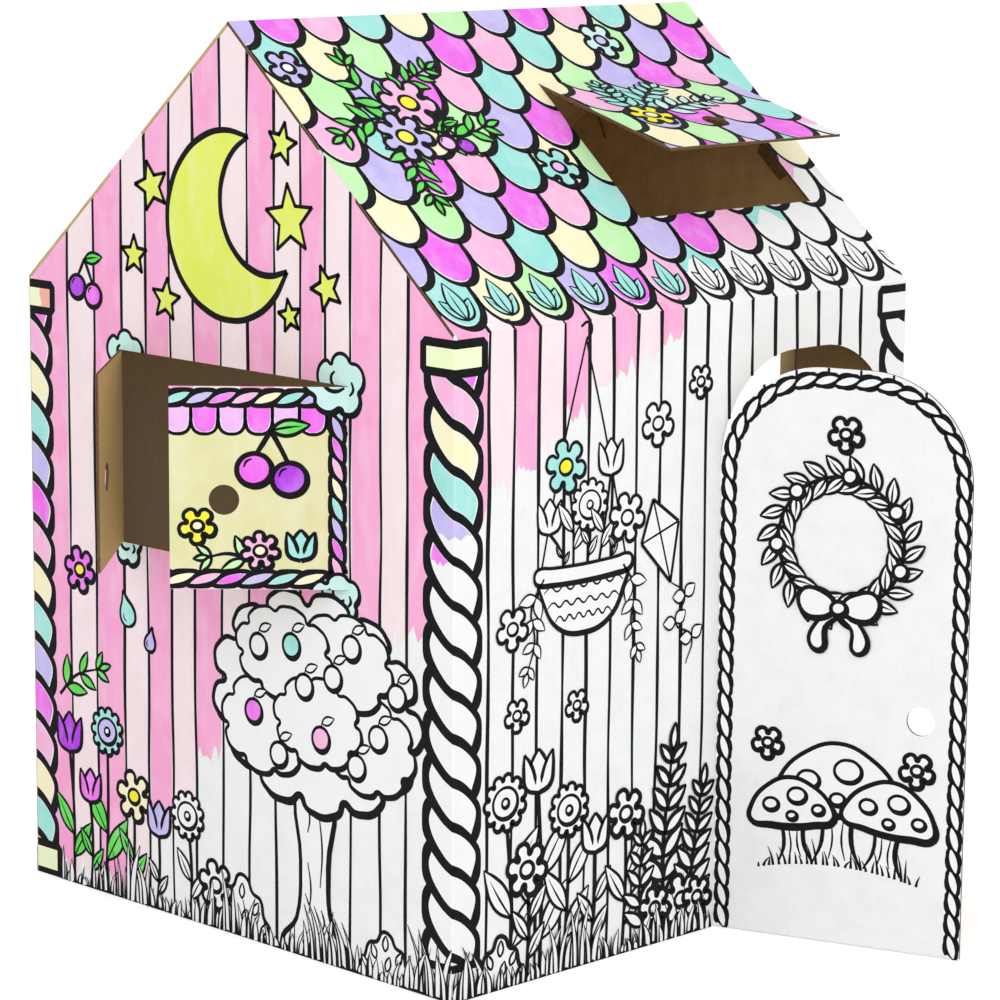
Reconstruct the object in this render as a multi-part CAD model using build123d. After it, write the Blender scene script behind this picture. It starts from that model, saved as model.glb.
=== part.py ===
from build123d import *
import math
import os

# A play house that a child can stand in, folded from two die-cut blanks of corrugated board.
# X runs along the wall with the door, Y along the gables, Z up. The floor is at zero height.
# Sizes are in millimetres and angles in degrees.

# The board
board = 4.0
layer_gap = 0.4
fold_radius = 2.5
overrun = 20.0

# The house
front_length = 876.0
gable_width = 844.0
eave_height = 852.0
ridge_height = 1219.0

# The glue laps inside the two closed corners
lap_width = 24.0
lap_end = 40.0
lap_taper = 12.0

# The flaps along the gable slopes, folded in under the roof
slope_flap_width = 60.0
slope_flap_top = 76.0
slope_flap_bottom = 26.0

# The tabs of the roof panels that pass down inside the gables, measured from the ridge
tab_top = 235.0
tab_bottom = 320.0
tab_depth = 58.0
tab_taper = 14.0

# The flap that joins the two roof panels under the ridge
ridge_flap_width = 60.0
ridge_flap_inset = 26.0

# The door flap, creased on its left, and the strip of wall on its right
door_margin = 29.0
door_width = 352.0
door_top = 777.0
door_flat = 62.0
door_floor_gap = 1.5
door_open_angle = 70.7

# The window of each gable with its two shutter flaps
window_width = 456.0
window_sill = 505.0
window_head = 769.0
left_shutter_angle = 47.0
right_shutter_angle = 45.0
far_shutter_angle = 44.0

# The skylight in the front roof panel, measured up the slope from the eave
# and in from the panel's right end
skylight_margin = 67.0
skylight_length = 348.0
skylight_low = 160.0
skylight_height = 256.0
hatch_open_angle = 24.8

# The die cut round each flap, and the crease that it turns on
cut_gap = 0.8
crease_gap = 0.3

# The finger holes of the flaps, from each flap's crease and from its lower edge
finger_hole = 39.0
door_hole_reach = 289.0
door_hole_height = 317.0
shutter_hole_reach = 158.0
shutter_hole_height = 117.0
hatch_hole_reach = 176.0

# Worked out from the sizes above
front_face = -gable_width / 2
left_face = -front_length / 2
right_face = front_length / 2
gable_rise = ridge_height - eave_height
roof_pitch = math.degrees(math.atan2(gable_rise, gable_width / 2))
slope_cos = math.cos(math.radians(roof_pitch))
slope_sin = math.sin(math.radians(roof_pitch))
slope_length = math.hypot(gable_rise, gable_width / 2)
under_roof = board + layer_gap
ridge_mitre = under_roof / math.sin(math.radians(2 * roof_pitch))
ridge_turn = board * slope_sin / slope_cos
door_crease = right_face - door_margin - door_width
skylight_left = right_face - skylight_margin - skylight_length
front_slope = -1
back_slope = 1


# A point of the section across the house: so far down a slope from the ridge, so deep below the roof's face
def slope_point(side, down, depth):
    y = side * (down * slope_cos - depth * slope_sin)
    z = ridge_height - down * slope_sin - depth * slope_cos
    return (y, z)


# How far down a slope a line at this depth meets the plane at this distance from the ridge's own plane
def down_at(distance, depth):
    return (distance + depth * slope_sin) / slope_cos


# A flat plate of the section, drawn in Y and Z and extruded along X
def section_plate(points, x_low, x_high):
    face = make_face(Plane.YZ.offset(x_low) * Polyline(*points, close=True))
    return extrude(face, amount=x_high - x_low, dir=(1, 0, 0))


# A block laid on a slope: along X, down the slope from the ridge, and below the roof's outer face
def slope_block(side, x_low, x_high, down_low, down_high, depth_low, depth_high):
    outer_edge = [(down_low, depth_low), (down_high, depth_low)]
    inner_edge = [(down_high, depth_high), (down_low, depth_high)]
    points = [slope_point(side, down, depth) for down, depth in outer_edge + inner_edge]
    return section_plate(points, x_low, x_high)


# The wall with its roof panel, one strip of board bent at the eave
def wall_and_roof(joins_ridge):
    inner_face = front_face + board
    eave_down = down_at(gable_width / 2 - board, board)
    if joins_ridge:
        top_outside = slope_point(front_slope, ridge_mitre, 0)
        top_inside = slope_point(front_slope, ridge_mitre + ridge_turn, board)
    else:
        top_outside = (0, ridge_height)
        top_inside = slope_point(back_slope, board / math.sin(math.radians(2 * roof_pitch)), 0)
    outline = [
        (front_face, 0),
        (front_face, eave_height),
        top_outside,
        top_inside,
        slope_point(front_slope, eave_down, board),
        (inner_face, 0),
    ]
    strip = section_plate(outline, left_face, right_face)
    eave = strip.edges().filter_by(Axis.X).sort_by_distance((0, front_face, eave_height))[0]
    return fillet(eave, fold_radius)


# The flap that runs on past the ridge fold, under the other roof panel
def ridge_flap():
    fold_outside = slope_point(front_slope, ridge_mitre, 0)
    fold_inside = slope_point(front_slope, ridge_mitre + ridge_turn, board)
    flap_end = ridge_flap_width + ridge_mitre
    outline = [
        fold_outside,
        slope_point(back_slope, flap_end, under_roof),
        slope_point(back_slope, flap_end, under_roof + board),
        fold_inside,
    ]
    return section_plate(outline, left_face + ridge_flap_inset, right_face - ridge_flap_inset)


# The gable wall, with a tongue on each slope that closes the slot for the roof's tab
def gable_wall():
    back_end = gable_width / 2 - under_roof
    front_down = down_at(gable_width / 2, under_roof)
    back_down = down_at(back_end, under_roof)
    apex_down = under_roof * slope_sin / slope_cos
    tongue = [(tab_bottom, under_roof), (tab_bottom, 0), (tab_top, 0), (tab_top, under_roof)]
    front_edge = [(front_down, under_roof)] + tongue
    back_edge = tongue[::-1] + [(back_down, under_roof)]
    outline = [(front_face, 0)]
    outline += [slope_point(front_slope, down, depth) for down, depth in front_edge]
    outline += [slope_point(front_slope, apex_down, under_roof)]
    outline += [slope_point(back_slope, down, depth) for down, depth in back_edge]
    outline += [(back_end, 0)]
    return section_plate(outline, left_face, left_face + board)


# The flaps that the gable folds in under both roof panels, above and below each slot
def slope_flaps():
    upper_span = (slope_flap_top, tab_top - layer_gap)
    lower_span = (tab_bottom + layer_gap, slope_length - slope_flap_bottom)
    inner_edge = left_face + slope_flap_width
    depths = (under_roof, under_roof + board)
    flaps = []
    for side in (front_slope, back_slope):
        for down_low, down_high in (upper_span, lower_span):
            flaps.append(slope_block(side, left_face, inner_edge, down_low, down_high, *depths))
    return flaps


# The glue lap at the gable's far end, which lies inside the other blank's wall
def glue_lap():
    outer = gable_width / 2 - under_roof
    low = lap_end
    high = eave_height - lap_end
    root = left_face
    tip = left_face + lap_width
    outline = [(root, low), (root, high), (tip, high - lap_taper), (tip, low + lap_taper)]
    face = make_face(Plane.XZ.offset(-outer) * Polyline(*outline, close=True))
    return extrude(face, amount=board, dir=(0, -1, 0))


# The notch that the gable's tongue fills, cut into one end of a roof panel
def tab_notch(end):
    x_low, x_high = sorted((end * (right_face - under_roof), end * (right_face + overrun)))
    low = tab_top - layer_gap
    high = tab_bottom + layer_gap
    return slope_block(front_slope, x_low, x_high, low, high, -overrun, board + overrun)


# The tab that folds down from the roof panel inside the gable, narrower at its tip
def roof_tab(end):
    low = tab_top + layer_gap
    high = tab_bottom - layer_gap
    corners = [
        (low, 0),
        (high, 0),
        (high, board),
        (high - tab_taper, tab_depth),
        (low + tab_taper, tab_depth),
        (low, board),
    ]
    x_low, x_high = sorted((end * (right_face - under_roof), end * (right_face - under_roof - board)))
    return section_plate([slope_point(front_slope, down, depth) for down, depth in corners], x_low, x_high)


# One whole blank, folded: a gable, a wall and a roof panel, with all their flaps and tabs
def folded_blank(joins_ridge):
    roof = wall_and_roof(joins_ridge)
    for end in (-1, 1):
        roof = roof - tab_notch(end) + roof_tab(end)
    blank = roof + gable_wall() + glue_lap()
    for flap in slope_flaps():
        blank = blank + flap
    if joins_ridge:
        blank = blank + ridge_flap()
    corners = blank.edges().filter_by(Axis.Z).filter_by_position(Axis.X, left_face, left_face)
    blank = fillet(corners.sort_by_distance((left_face, front_face, 0))[0], fold_radius)
    return blank


# The outline of the door, shrunk by a margin and with two round corners over a short flat,
# drawn on the front wall's outer face
def door_outline(margin, bottom, left):
    right = door_crease + door_width - margin
    top = door_top - margin
    corner_radius = (right - left - door_flat) / 2
    outline = make_face(Polyline((left, bottom), (right, bottom), (right, top), (left, top), close=True))
    upper_corners = outline.vertices().group_by(Axis.Y)[-1]
    return Plane.XZ.offset(-front_face) * fillet(upper_corners, corner_radius)


# A round hole through the board at this point of its face, square to the face
def hole_cutter(centre, across):
    plane = Plane(centre, z_dir=across)
    return extrude(plane * Circle(finger_hole / 2), amount=board + overrun, both=True)


# The door, closed and then swung out on its crease
def make_door():
    outline = door_outline(cut_gap, door_floor_gap, door_crease + crease_gap)
    leaf = extrude(outline, amount=board, dir=(0, 1, 0))
    hole = hole_cutter((door_crease + door_hole_reach, front_face, door_hole_height), (0, 1, 0))
    crease = Axis((door_crease, front_face, 0), (0, 0, 1))
    return (leaf - hole).rotate(crease, -door_open_angle)


# One shutter of the left gable, closed and then swung out on its crease
# The side is 1 on the left of the window and -1 on its right
def make_shutter(side, open_angle):
    crease_y = side * window_width / 2
    reach = [crease_y - side * crease_gap, side * cut_gap / 2]
    low = window_sill + cut_gap
    high = window_head - cut_gap
    corners = [(reach[0], low), (reach[1], low), (reach[1], high), (reach[0], high)]
    leaf = section_plate(corners, left_face, left_face + board)
    hole_y = crease_y - side * shutter_hole_reach
    hole = hole_cutter((left_face, hole_y, window_sill + shutter_hole_height), (1, 0, 0))
    crease = Axis((left_face, crease_y, 0), (0, 0, 1))
    return (leaf - hole).rotate(crease, -side * open_angle)


# The roof hatch, closed and then lifted on the crease along its upper edge
def make_hatch():
    top = slope_length - skylight_low - skylight_height
    low = top + crease_gap
    high = top + skylight_height - cut_gap
    x_low = skylight_left + cut_gap
    x_high = skylight_left + skylight_length - cut_gap
    leaf = slope_block(front_slope, x_low, x_high, low, high, 0, board)
    hole_y, hole_z = slope_point(front_slope, top + hatch_hole_reach, 0)
    middle = (x_low + x_high) / 2
    hole = hole_cutter((middle, hole_y, hole_z), (0, -slope_sin, slope_cos))
    crease_y, crease_z = slope_point(front_slope, top, 0)
    crease = Axis((0, crease_y, crease_z), (1, 0, 0))
    return (leaf - hole).rotate(crease, -hatch_open_angle)


# The block that cuts the window out of the left gable
def window_cutter():
    half = window_width / 2
    opening = [(-half, window_sill), (half, window_sill), (half, window_head), (-half, window_head)]
    return section_plate(opening, left_face - overrun, left_face + board + overrun)


# The blank with a window, the doorway and the skylight
def make_front_sheet():
    sheet = folded_blank(False) - window_cutter()
    doorway = extrude(door_outline(0, -overrun, door_crease), amount=board + overrun, both=True)
    top = slope_length - skylight_low - skylight_height
    x_high = skylight_left + skylight_length
    bottom = top + skylight_height
    skylight = slope_block(front_slope, skylight_left, x_high, top, bottom, -overrun, board + overrun)
    return sheet - doorway - skylight


# The same blank, turned round to the back, with only its window and the flap that joins the ridge
def make_back_sheet():
    sheet = folded_blank(True) - window_cutter()
    return sheet.rotate(Axis.Z, 180)


# A shutter of that blank's window, turned round with it
def make_far_shutter(side):
    return make_shutter(side, far_shutter_angle).rotate(Axis.Z, 180)


pieces = {
    "front_sheet": make_front_sheet(),
    "back_sheet": make_back_sheet(),
    "door": make_door(),
    "left_shutter": make_shutter(1, left_shutter_angle),
    "right_shutter": make_shutter(-1, right_shutter_angle),
    "far_left_shutter": make_far_shutter(1),
    "far_right_shutter": make_far_shutter(-1),
    "roof_hatch": make_hatch(),
}

os.makedirs("parts", exist_ok=True)
for name, piece in pieces.items():
    export_step(piece, os.path.join("parts", name + ".step"))
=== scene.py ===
import bmesh
import bpy
import math
import random
from mathutils import Matrix, Vector


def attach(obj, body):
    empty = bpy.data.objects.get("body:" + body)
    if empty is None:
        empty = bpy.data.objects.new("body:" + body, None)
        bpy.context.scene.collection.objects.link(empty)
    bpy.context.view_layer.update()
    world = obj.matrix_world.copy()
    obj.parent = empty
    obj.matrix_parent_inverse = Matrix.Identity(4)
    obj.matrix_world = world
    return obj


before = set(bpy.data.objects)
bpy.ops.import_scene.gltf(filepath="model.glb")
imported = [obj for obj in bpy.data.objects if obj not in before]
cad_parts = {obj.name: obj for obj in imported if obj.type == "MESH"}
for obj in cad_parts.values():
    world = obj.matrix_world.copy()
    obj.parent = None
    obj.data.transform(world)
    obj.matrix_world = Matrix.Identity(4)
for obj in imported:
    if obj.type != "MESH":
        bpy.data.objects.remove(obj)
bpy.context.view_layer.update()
draw = random.Random(11)
print("frame loaded:", sorted(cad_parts))

# metres, as folded: the front wall faces -Y, the window gable faces -X
house = {
    "halfLength": 0.438,
    "halfWidth": 0.422,
    "eave": 0.852,
    "ridge": 1.219,
    "board": 0.004,
    "underRoof": 0.0046,
    "foldRadius": 0.0025,
    "tongue": (1.009, 1.0648),  # heights where the gable fills a slot in the roof's end
    "windowHalf": 0.228,
    "windowSill": 0.505,
    "windowHead": 0.769,
    "doorLeft": 0.057,
    "doorWidth": 0.352,
    "doorTop": 0.777,
    "doorFlat": 0.062,
    "skylight": (0.023, 0.371, 0.16, 0.416),  # left, right, and from the eave up the slope
    "fingerHole": 0.0196,
    "doorOpen": 70.7,
    "leftShutterOpen": 47.0,
    "rightShutterOpen": 45.0,
    "farShutterOpen": 44.0,
    "hatchOpen": 24.8,
}
halfLength, halfWidth = house["halfLength"], house["halfWidth"]
eave, ridge = house["eave"], house["ridge"]
slopeLength = math.hypot(ridge - eave, halfWidth)
slopeSin, slopeCos = (ridge - eave) / slopeLength, halfWidth / slopeLength
doorRight = house["doorLeft"] + house["doorWidth"]
doorHalf = house["doorWidth"] / 2
doorMiddle = house["doorLeft"] + doorHalf
doorCorner = doorHalf - house["doorFlat"] / 2
doorSpring = house["doorTop"] - doorCorner


def tone(*screen):  # screen values to the shader's linear ones
    shares = [v / 255 for v in screen]
    return tuple(v / 12.92 if v <= 0.04045 else ((v + 0.055) / 1.055) ** 2.4 for v in shares)


tints = {
    "pink": tone(252, 177, 218),
    "palePink": tone(251, 232, 236),
    "lavender": tone(203, 193, 245),
    "magenta": tone(243, 118, 240),
    "rose": tone(251, 190, 228),
    "aqua": tone(166, 233, 226),
    "cream": tone(253, 246, 206),
    "lime": tone(201, 248, 186),
    "butter": tone(230, 228, 176),
    "lemon": tone(232, 244, 108),
    "sunny": tone(250, 240, 50),
    "lilac": tone(242, 192, 250),
    "plum": tone(186, 62, 232),
    "leaf": tone(104, 226, 92),
    "mint": tone(206, 243, 236),
    "capCream": tone(243, 253, 208),
    "salmon": tone(250, 186, 170),
    "paper": tone(246, 247, 247),
}
inkTone, brightWhite = tone(17, 17, 19), tone(255, 255, 255)

# finishes


class Finish:
    def __init__(self, name):
        self.material = bpy.data.materials.new(name)
        self.material.use_nodes = True
        self.tree = self.material.node_tree
        self.shader = self.tree.nodes["Principled BSDF"]

    def node(self, kind, **settings):
        made = self.tree.nodes.new("ShaderNode" + kind)
        for key, value in settings.items():
            setattr(made, key, value)
        return made

    def feed(self, socket, value):
        if isinstance(value, bpy.types.NodeSocket):
            self.tree.links.new(value, socket)
        else:
            socket.default_value = value

    def maths(self, operation, *values):
        made = self.node("Math", operation=operation)
        for socket, value in zip(made.inputs, values):
            self.feed(socket, value)
        return made.outputs[0]

    def plus(self, first, second):
        return self.maths("ADD", first, second)

    def minus(self, first, second):
        return self.maths("SUBTRACT", first, second)

    def times(self, first, second):
        return self.maths("MULTIPLY", first, second)

    def most(self, first, second):
        return self.maths("MAXIMUM", first, second)

    def above(self, value, limit):
        return self.maths("GREATER_THAN", value, limit)

    def below(self, value, limit):
        return self.maths("LESS_THAN", value, limit)

    def between(self, value, low, high):  # 1 inside the two limits
        return self.times(self.above(value, low), self.below(value, high))

    def ramp(self, value, low, high, top=1.0):  # 0 to top between the two limits
        made = self.node("MapRange", clamp=True, interpolation_type="SMOOTHSTEP")
        for socket, number in zip(made.inputs, (value, low, high, 0.0, top)):
            self.feed(socket, number)
        return made.outputs[0]

    def along(self, vector, direction):
        made = self.node("VectorMath", operation="DOT_PRODUCT")
        self.feed(made.inputs[0], vector)
        self.feed(made.inputs[1], direction)
        return made.outputs["Value"]

    def mixed(self, share, first, second):
        made = self.node("Mix", data_type="RGBA")
        self.feed(made.inputs[0], share)
        for socket, value in ((made.inputs[6], first), (made.inputs[7], second)):
            self.feed(socket, value if isinstance(value, bpy.types.NodeSocket) else (*value, 1.0))
        return made.outputs[2]

    def noise(self, vector, stretch, detail, rough):
        mapping = self.node("Mapping")
        self.feed(mapping.inputs["Vector"], vector)
        mapping.inputs["Scale"].default_value = stretch
        made = self.node("TexNoise")
        self.feed(made.inputs["Vector"], mapping.outputs[0])
        made.inputs["Scale"].default_value = 1.0
        made.inputs["Detail"].default_value = detail
        made.inputs["Roughness"].default_value = rough
        return made.outputs["Fac"]

    def bump(self, height, strength, distance):
        made = self.node("Bump")
        made.inputs["Strength"].default_value = strength
        made.inputs["Distance"].default_value = distance
        self.feed(made.inputs["Height"], height)
        self.feed(self.shader.inputs["Normal"], made.outputs[0])

    def surface(self, colour, rough, gloss):
        for socket, value in (("Base Color", colour), ("Roughness", rough), ("Specular IOR Level", gloss)):
            self.feed(self.shader.inputs[socket], value)
        return self.material


# the board: white coated liner outside, brown liner inside, open flutes where it is cut, drawn on a flat
# edge with painted shade in the hollows
boardLook = {
    "white": tone(246, 247, 247),
    "whiteShade": tone(241, 243, 243),
    "kraft": tone(212, 178, 126),
    "kraftDark": tone(192, 158, 108),
    # painted shade: a darker, greyer kraft that the inside of the house takes low down
    "kraftLow": tone(186, 166, 132),
    # painted light: a lighter, yellower kraft for the near shutters' inner faces
    "kraftFlap": tone(228, 200, 134),
    "fleck": tone(230, 202, 158),
    # the cut edge's browns: partly the fluting's own tone, partly painted shade for the shade the edge
    # stands in; the darkest is painted shade in the flute hollows and along the flutes
    "edge": tone(116, 89, 60),
    "edgeLight": tone(146, 115, 80),
    "edgeDark": tone(68, 50, 32),
    "flutePitch": 0.0066,
    "liner": 0.0006,
    "flute": (0.0003, 0.0007),  # from a flute's paper to the hollow beside it
    "slack": 0.0002,
    "squarely": 0.9,  # a face that looks this straight out or in is a liner
}


def boardFinish(name, panels, folds, lowTone):  # lowTone is the inner liner's tone towards the foot: a darker, greyer kraft as painted shade inside the house, a lighter, yellower kraft as painted light on the near shutters, plain kraft elsewhere
    look, thick = boardLook, house["board"]
    swing = thick / 2 - look["liner"]
    finish = Finish(name)
    coords = finish.node("TexCoord")
    place, normal = coords.outputs["Object"], coords.outputs["Normal"]
    height = finish.along(place, (0, 0, 1))
    white, kraft, gaps, ridges = 0.0, 0.0, 0.0, 0.0
    for panel in panels:
        depth = finish.minus(panel["at"], finish.along(place, panel["out"]))
        facing = finish.along(normal, panel["out"])
        outer = finish.times(finish.above(facing, look["squarely"]), finish.below(depth, look["liner"]))
        for roof in panel["roofs"]:  # a roof's cut end is flush with the gable and stays raw
            under = finish.minus(roof["at"], finish.along(place, roof["out"]))
            inTongue = finish.between(height, *house["tongue"])
            outer = finish.times(outer, finish.most(finish.above(under, thick + look["slack"]), inTongue))
        white = finish.most(white, outer)
        kraft = finish.most(kraft, finish.below(facing, -look["squarely"]))
        # the cut edge: a wave of fluting between the two liners, its hollows darkened as painted shade
        turn = finish.times(finish.along(place, panel["across"]), math.tau / look["flutePitch"])
        wave = finish.maths("SINE", turn)
        middle = finish.minus(depth, thick / 2)
        offset = finish.maths("ABSOLUTE", finish.minus(middle, finish.times(wave, swing * 0.8)))
        core = finish.ramp(finish.maths("ABSOLUTE", middle), swing, swing - look["flute"][0])
        hollow = finish.times(finish.ramp(offset, *look["flute"]), core)
        gaps = finish.most(gaps, finish.times(hollow, finish.between(depth, 0.0, thick)))
        ridges = finish.plus(ridges, finish.times(wave, finish.maths("ABSOLUTE", facing)))
    for fold in folds:
        outward = finish.above(finish.along(normal, fold["out"]), fold["facing"])
        beyond = finish.above(finish.along(place, fold["out"]), fold["at"])
        white = finish.most(white, finish.times(outward, beyond))
    mottle = finish.noise(place, (26, 26, 26), 5.0, 0.65)
    fibre = finish.noise(place, (340, 340, 150), 3.0, 0.6)
    brown = finish.mixed(finish.ramp(mottle, 0.3, 0.72), look["kraft"], look["kraftDark"])
    # painted shade and light: towards the foot the inner liner takes lowTone
    brown = finish.mixed(finish.ramp(height, 0.95, 0.6), brown, look[lowTone])
    brown = finish.mixed(finish.ramp(fibre, 0.5, 0.75, 0.35), brown, look["fleck"])
    # painted shade: the kraft darkens a little along each flute, the washboard's shade, besides the bump
    brown = finish.mixed(finish.ramp(ridges, 0.2, 1.0, 0.08), brown, look["edgeDark"])
    # painted shade: the cut edge is kept darker than the board's own brown, partly its own tone and partly
    # painted shade, and its flute hollows are darker still
    cut = finish.mixed(finish.ramp(fibre, 0.35, 0.7), look["edge"], look["edgeLight"])
    cut = finish.mixed(gaps, cut, look["edgeDark"])
    coat = finish.mixed(finish.ramp(mottle, 0.35, 0.7), look["white"], look["whiteShade"])
    colour = finish.mixed(white, finish.mixed(kraft, cut, brown), coat)
    sheen = finish.times(white, finish.plus(0.16, finish.times(mottle, 0.2)))
    finish.bump(finish.plus(finish.times(ridges, 0.5), finish.times(fibre, 0.35)), 0.2, 0.0003)
    return finish.surface(colour, finish.minus(0.86, sheen), 0.25)


def washFinish():  # brushed felt-tip and water colour, the tint comes with each shape
    finish = Finish("colourWash")
    place = finish.node("TexCoord").outputs["Object"]
    tint = finish.node("Attribute", attribute_name="tint").outputs["Color"]
    streak = finish.noise(place, (48, 48, 15), 3.0, 0.5)
    cloud = finish.noise(place, (24, 24, 19), 2.0, 0.5)
    grain = finish.noise(place, (420, 420, 420), 2.0, 0.5)
    deep = finish.node("Gamma")
    finish.feed(deep.inputs["Color"], tint)
    deep.inputs["Gamma"].default_value = 1.22
    pale = finish.mixed(0.26, tint, brightWhite)
    colour = finish.mixed(finish.ramp(streak, 0.42, 0.72, 0.55), tint, pale)
    colour = finish.mixed(finish.ramp(cloud, 0.5, 0.6, 0.6), colour, deep.outputs[0])
    colour = finish.mixed(finish.ramp(grain, 0.5, 0.8, 0.08), colour, brightWhite)
    finish.bump(grain, 0.1, 0.0002)
    return finish.surface(colour, finish.plus(0.62, finish.times(cloud, 0.2)), 0.25)


def inkFinish():
    finish = Finish("blackInk")
    place = finish.node("TexCoord").outputs["Object"]
    patch = finish.noise(place, (60, 60, 60), 4.0, 0.6)
    colour = finish.mixed(finish.ramp(patch, 0.3, 0.75), inkTone, tone(26, 26, 29))
    return finish.surface(colour, finish.plus(0.6, finish.times(patch, 0.2)), 0.12)


def turned(vector, degrees, axis):
    return Matrix.Rotation(math.radians(degrees), 3, axis) @ Vector(vector)


def panelAt(point, out, across, roofs=()):
    out, across = Vector(out).normalized(), Vector(across).normalized()
    return {"out": tuple(out), "at": Vector(point).dot(out), "across": tuple(across), "roofs": roofs}


frontRoof = panelAt((0, -halfWidth, eave), (0, -slopeSin, slopeCos), (1, 0, 0))
backRoof = panelAt((0, halfWidth, eave), (0, slopeSin, slopeCos), (1, 0, 0))
frontPanels = [
    panelAt((-halfLength, 0, 0), (-1, 0, 0), (0, 1, 0), (frontRoof, backRoof)),
    panelAt((0, -halfWidth, 0), (0, -1, 0), (1, 0, 0)),
    frontRoof,
]
backPanels = [
    panelAt((halfLength, 0, 0), (1, 0, 0), (0, 1, 0), (frontRoof, backRoof)),
    panelAt((0, halfWidth, 0), (0, 1, 0), (1, 0, 0)),
    backRoof,
]


def foldAt(first, second, corner):  # the rounded fold between two panels, seen from outside
    out = (Vector(first) + Vector(second)).normalized()
    at = Vector(corner).dot(out) - house["foldRadius"]
    return {"out": tuple(out), "at": at, "facing": out.dot(Vector(first)) - 0.02}


frontFolds = [
    foldAt((-1, 0, 0), (0, -1, 0), (-halfLength, -halfWidth, 0)),
    foldAt((0, -1, 0), frontRoof["out"], (0, -halfWidth, eave)),
]
backFolds = [
    foldAt((1, 0, 0), (0, 1, 0), (halfLength, halfWidth, 0)),
    foldAt((0, 1, 0), backRoof["out"], (0, halfWidth, eave)),
    foldAt(frontRoof["out"], backRoof["out"], (0, 0, ridge)),
]
up = Vector((0, 0, 1))
doorHinge = Vector((house["doorLeft"], -halfWidth, 0))
doorAcross = turned((1, 0, 0), -house["doorOpen"], "Z")
hatchUp = turned((0, slopeCos, slopeSin), -house["hatchOpen"], "X")
hatchHinge = Vector((0, -halfWidth, eave)) + Vector((0, slopeCos, slopeSin)) * house["skylight"][3]
# the last column is the inner liner's tone towards the foot, painted shade on the two sheets
boardParts = {
    "front_sheet": (frontPanels, frontFolds, "kraftLow"),
    "back_sheet": (backPanels, backFolds, "kraftLow"),
    "door": ([panelAt(doorHinge, doorAcross.cross(up), doorAcross)], (), "kraft"),
    "roof_hatch": ([panelAt(hatchHinge, Vector((1, 0, 0)).cross(hatchUp), (1, 0, 0))], (), "kraft"),
}
# each shutter: its print, the end of the house, the side of its crease, how far it is open, its liner, which
# on the near shutters is a lighter, yellower kraft as painted light
shutters = {
    "left_shutter": ("leftShutter", -1, -1, house["leftShutterOpen"], "kraftFlap"),
    "right_shutter": ("rightShutter", -1, 1, house["rightShutterOpen"], "kraftFlap"),
    "far_left_shutter": ("farLeftShutter", 1, -1, house["farShutterOpen"], "kraft"),
    "far_right_shutter": ("farRightShutter", 1, 1, house["farShutterOpen"], "kraft"),
}
shutterPlaces = {}
for nodeName, (name, end, side, degrees, liner) in shutters.items():
    hinge = Vector((end * halfLength, end * side * house["windowHalf"], 0))
    across = turned((0, end, 0), side * degrees, "Z")
    shutterPlaces[nodeName] = (hinge, across)
    boardParts[nodeName] = ([panelAt(hinge, across.cross(up), across)], (), liner)
for nodeName, (panels, folds, liner) in boardParts.items():
    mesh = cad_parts[nodeName].data
    mesh.materials.clear()
    mesh.materials.append(boardFinish(nodeName + "Board", panels, folds, liner))
colourWash, blackInk = washFinish(), inkFinish()
print("finishes made")

# the pen: shapes are drawn flat in metres, then laid on the board

blunt = (1, 1)  # a stroke as wide at its ends as between them
film = {
    "first": 0.00012,  # height of the lowest print above the board
    "step": 0.00003,  # from one level of print to the next
    "curveSteps": 5,
    "heavySide": (0.55, -0.83),
    "cell": 0.005,
    "ground": 8,  # motifs start above this level
    "gap": 0.0008,  # the print stops short of a flap's cut edges
    "creaseGap": 0.0003,
}


def linked(name, data):
    made = bpy.data.objects.new(name, data)
    bpy.context.scene.collection.objects.link(made)
    return made


def placeOn(origin, across, upward):
    across, upward = Vector(across), Vector(upward)
    return Matrix.Translation(origin) @ Matrix((across, upward, across.cross(upward))).transposed().to_4x4()


def heavier(points, width, extra):  # outline widths, fuller towards the lower right
    pairs = list(zip(points, points[1:] + points[:1]))
    turn = 1 if sum(x0 * y1 - x1 * y0 for (x0, y0), (x1, y1) in pairs) > 0 else -1
    widths = []
    for i in range(len(points)):
        (x0, y0), (x1, y1) = points[i - 1], points[(i + 1) % len(points)]
        size = math.hypot(x1 - x0, y1 - y0) or 1.0
        side = turn * ((y1 - y0) * film["heavySide"][0] - (x1 - x0) * film["heavySide"][1]) / size
        widths.append(width * (1 + extra * max(0.0, side)) * draw.uniform(0.93, 1.07))
    return widths


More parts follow.
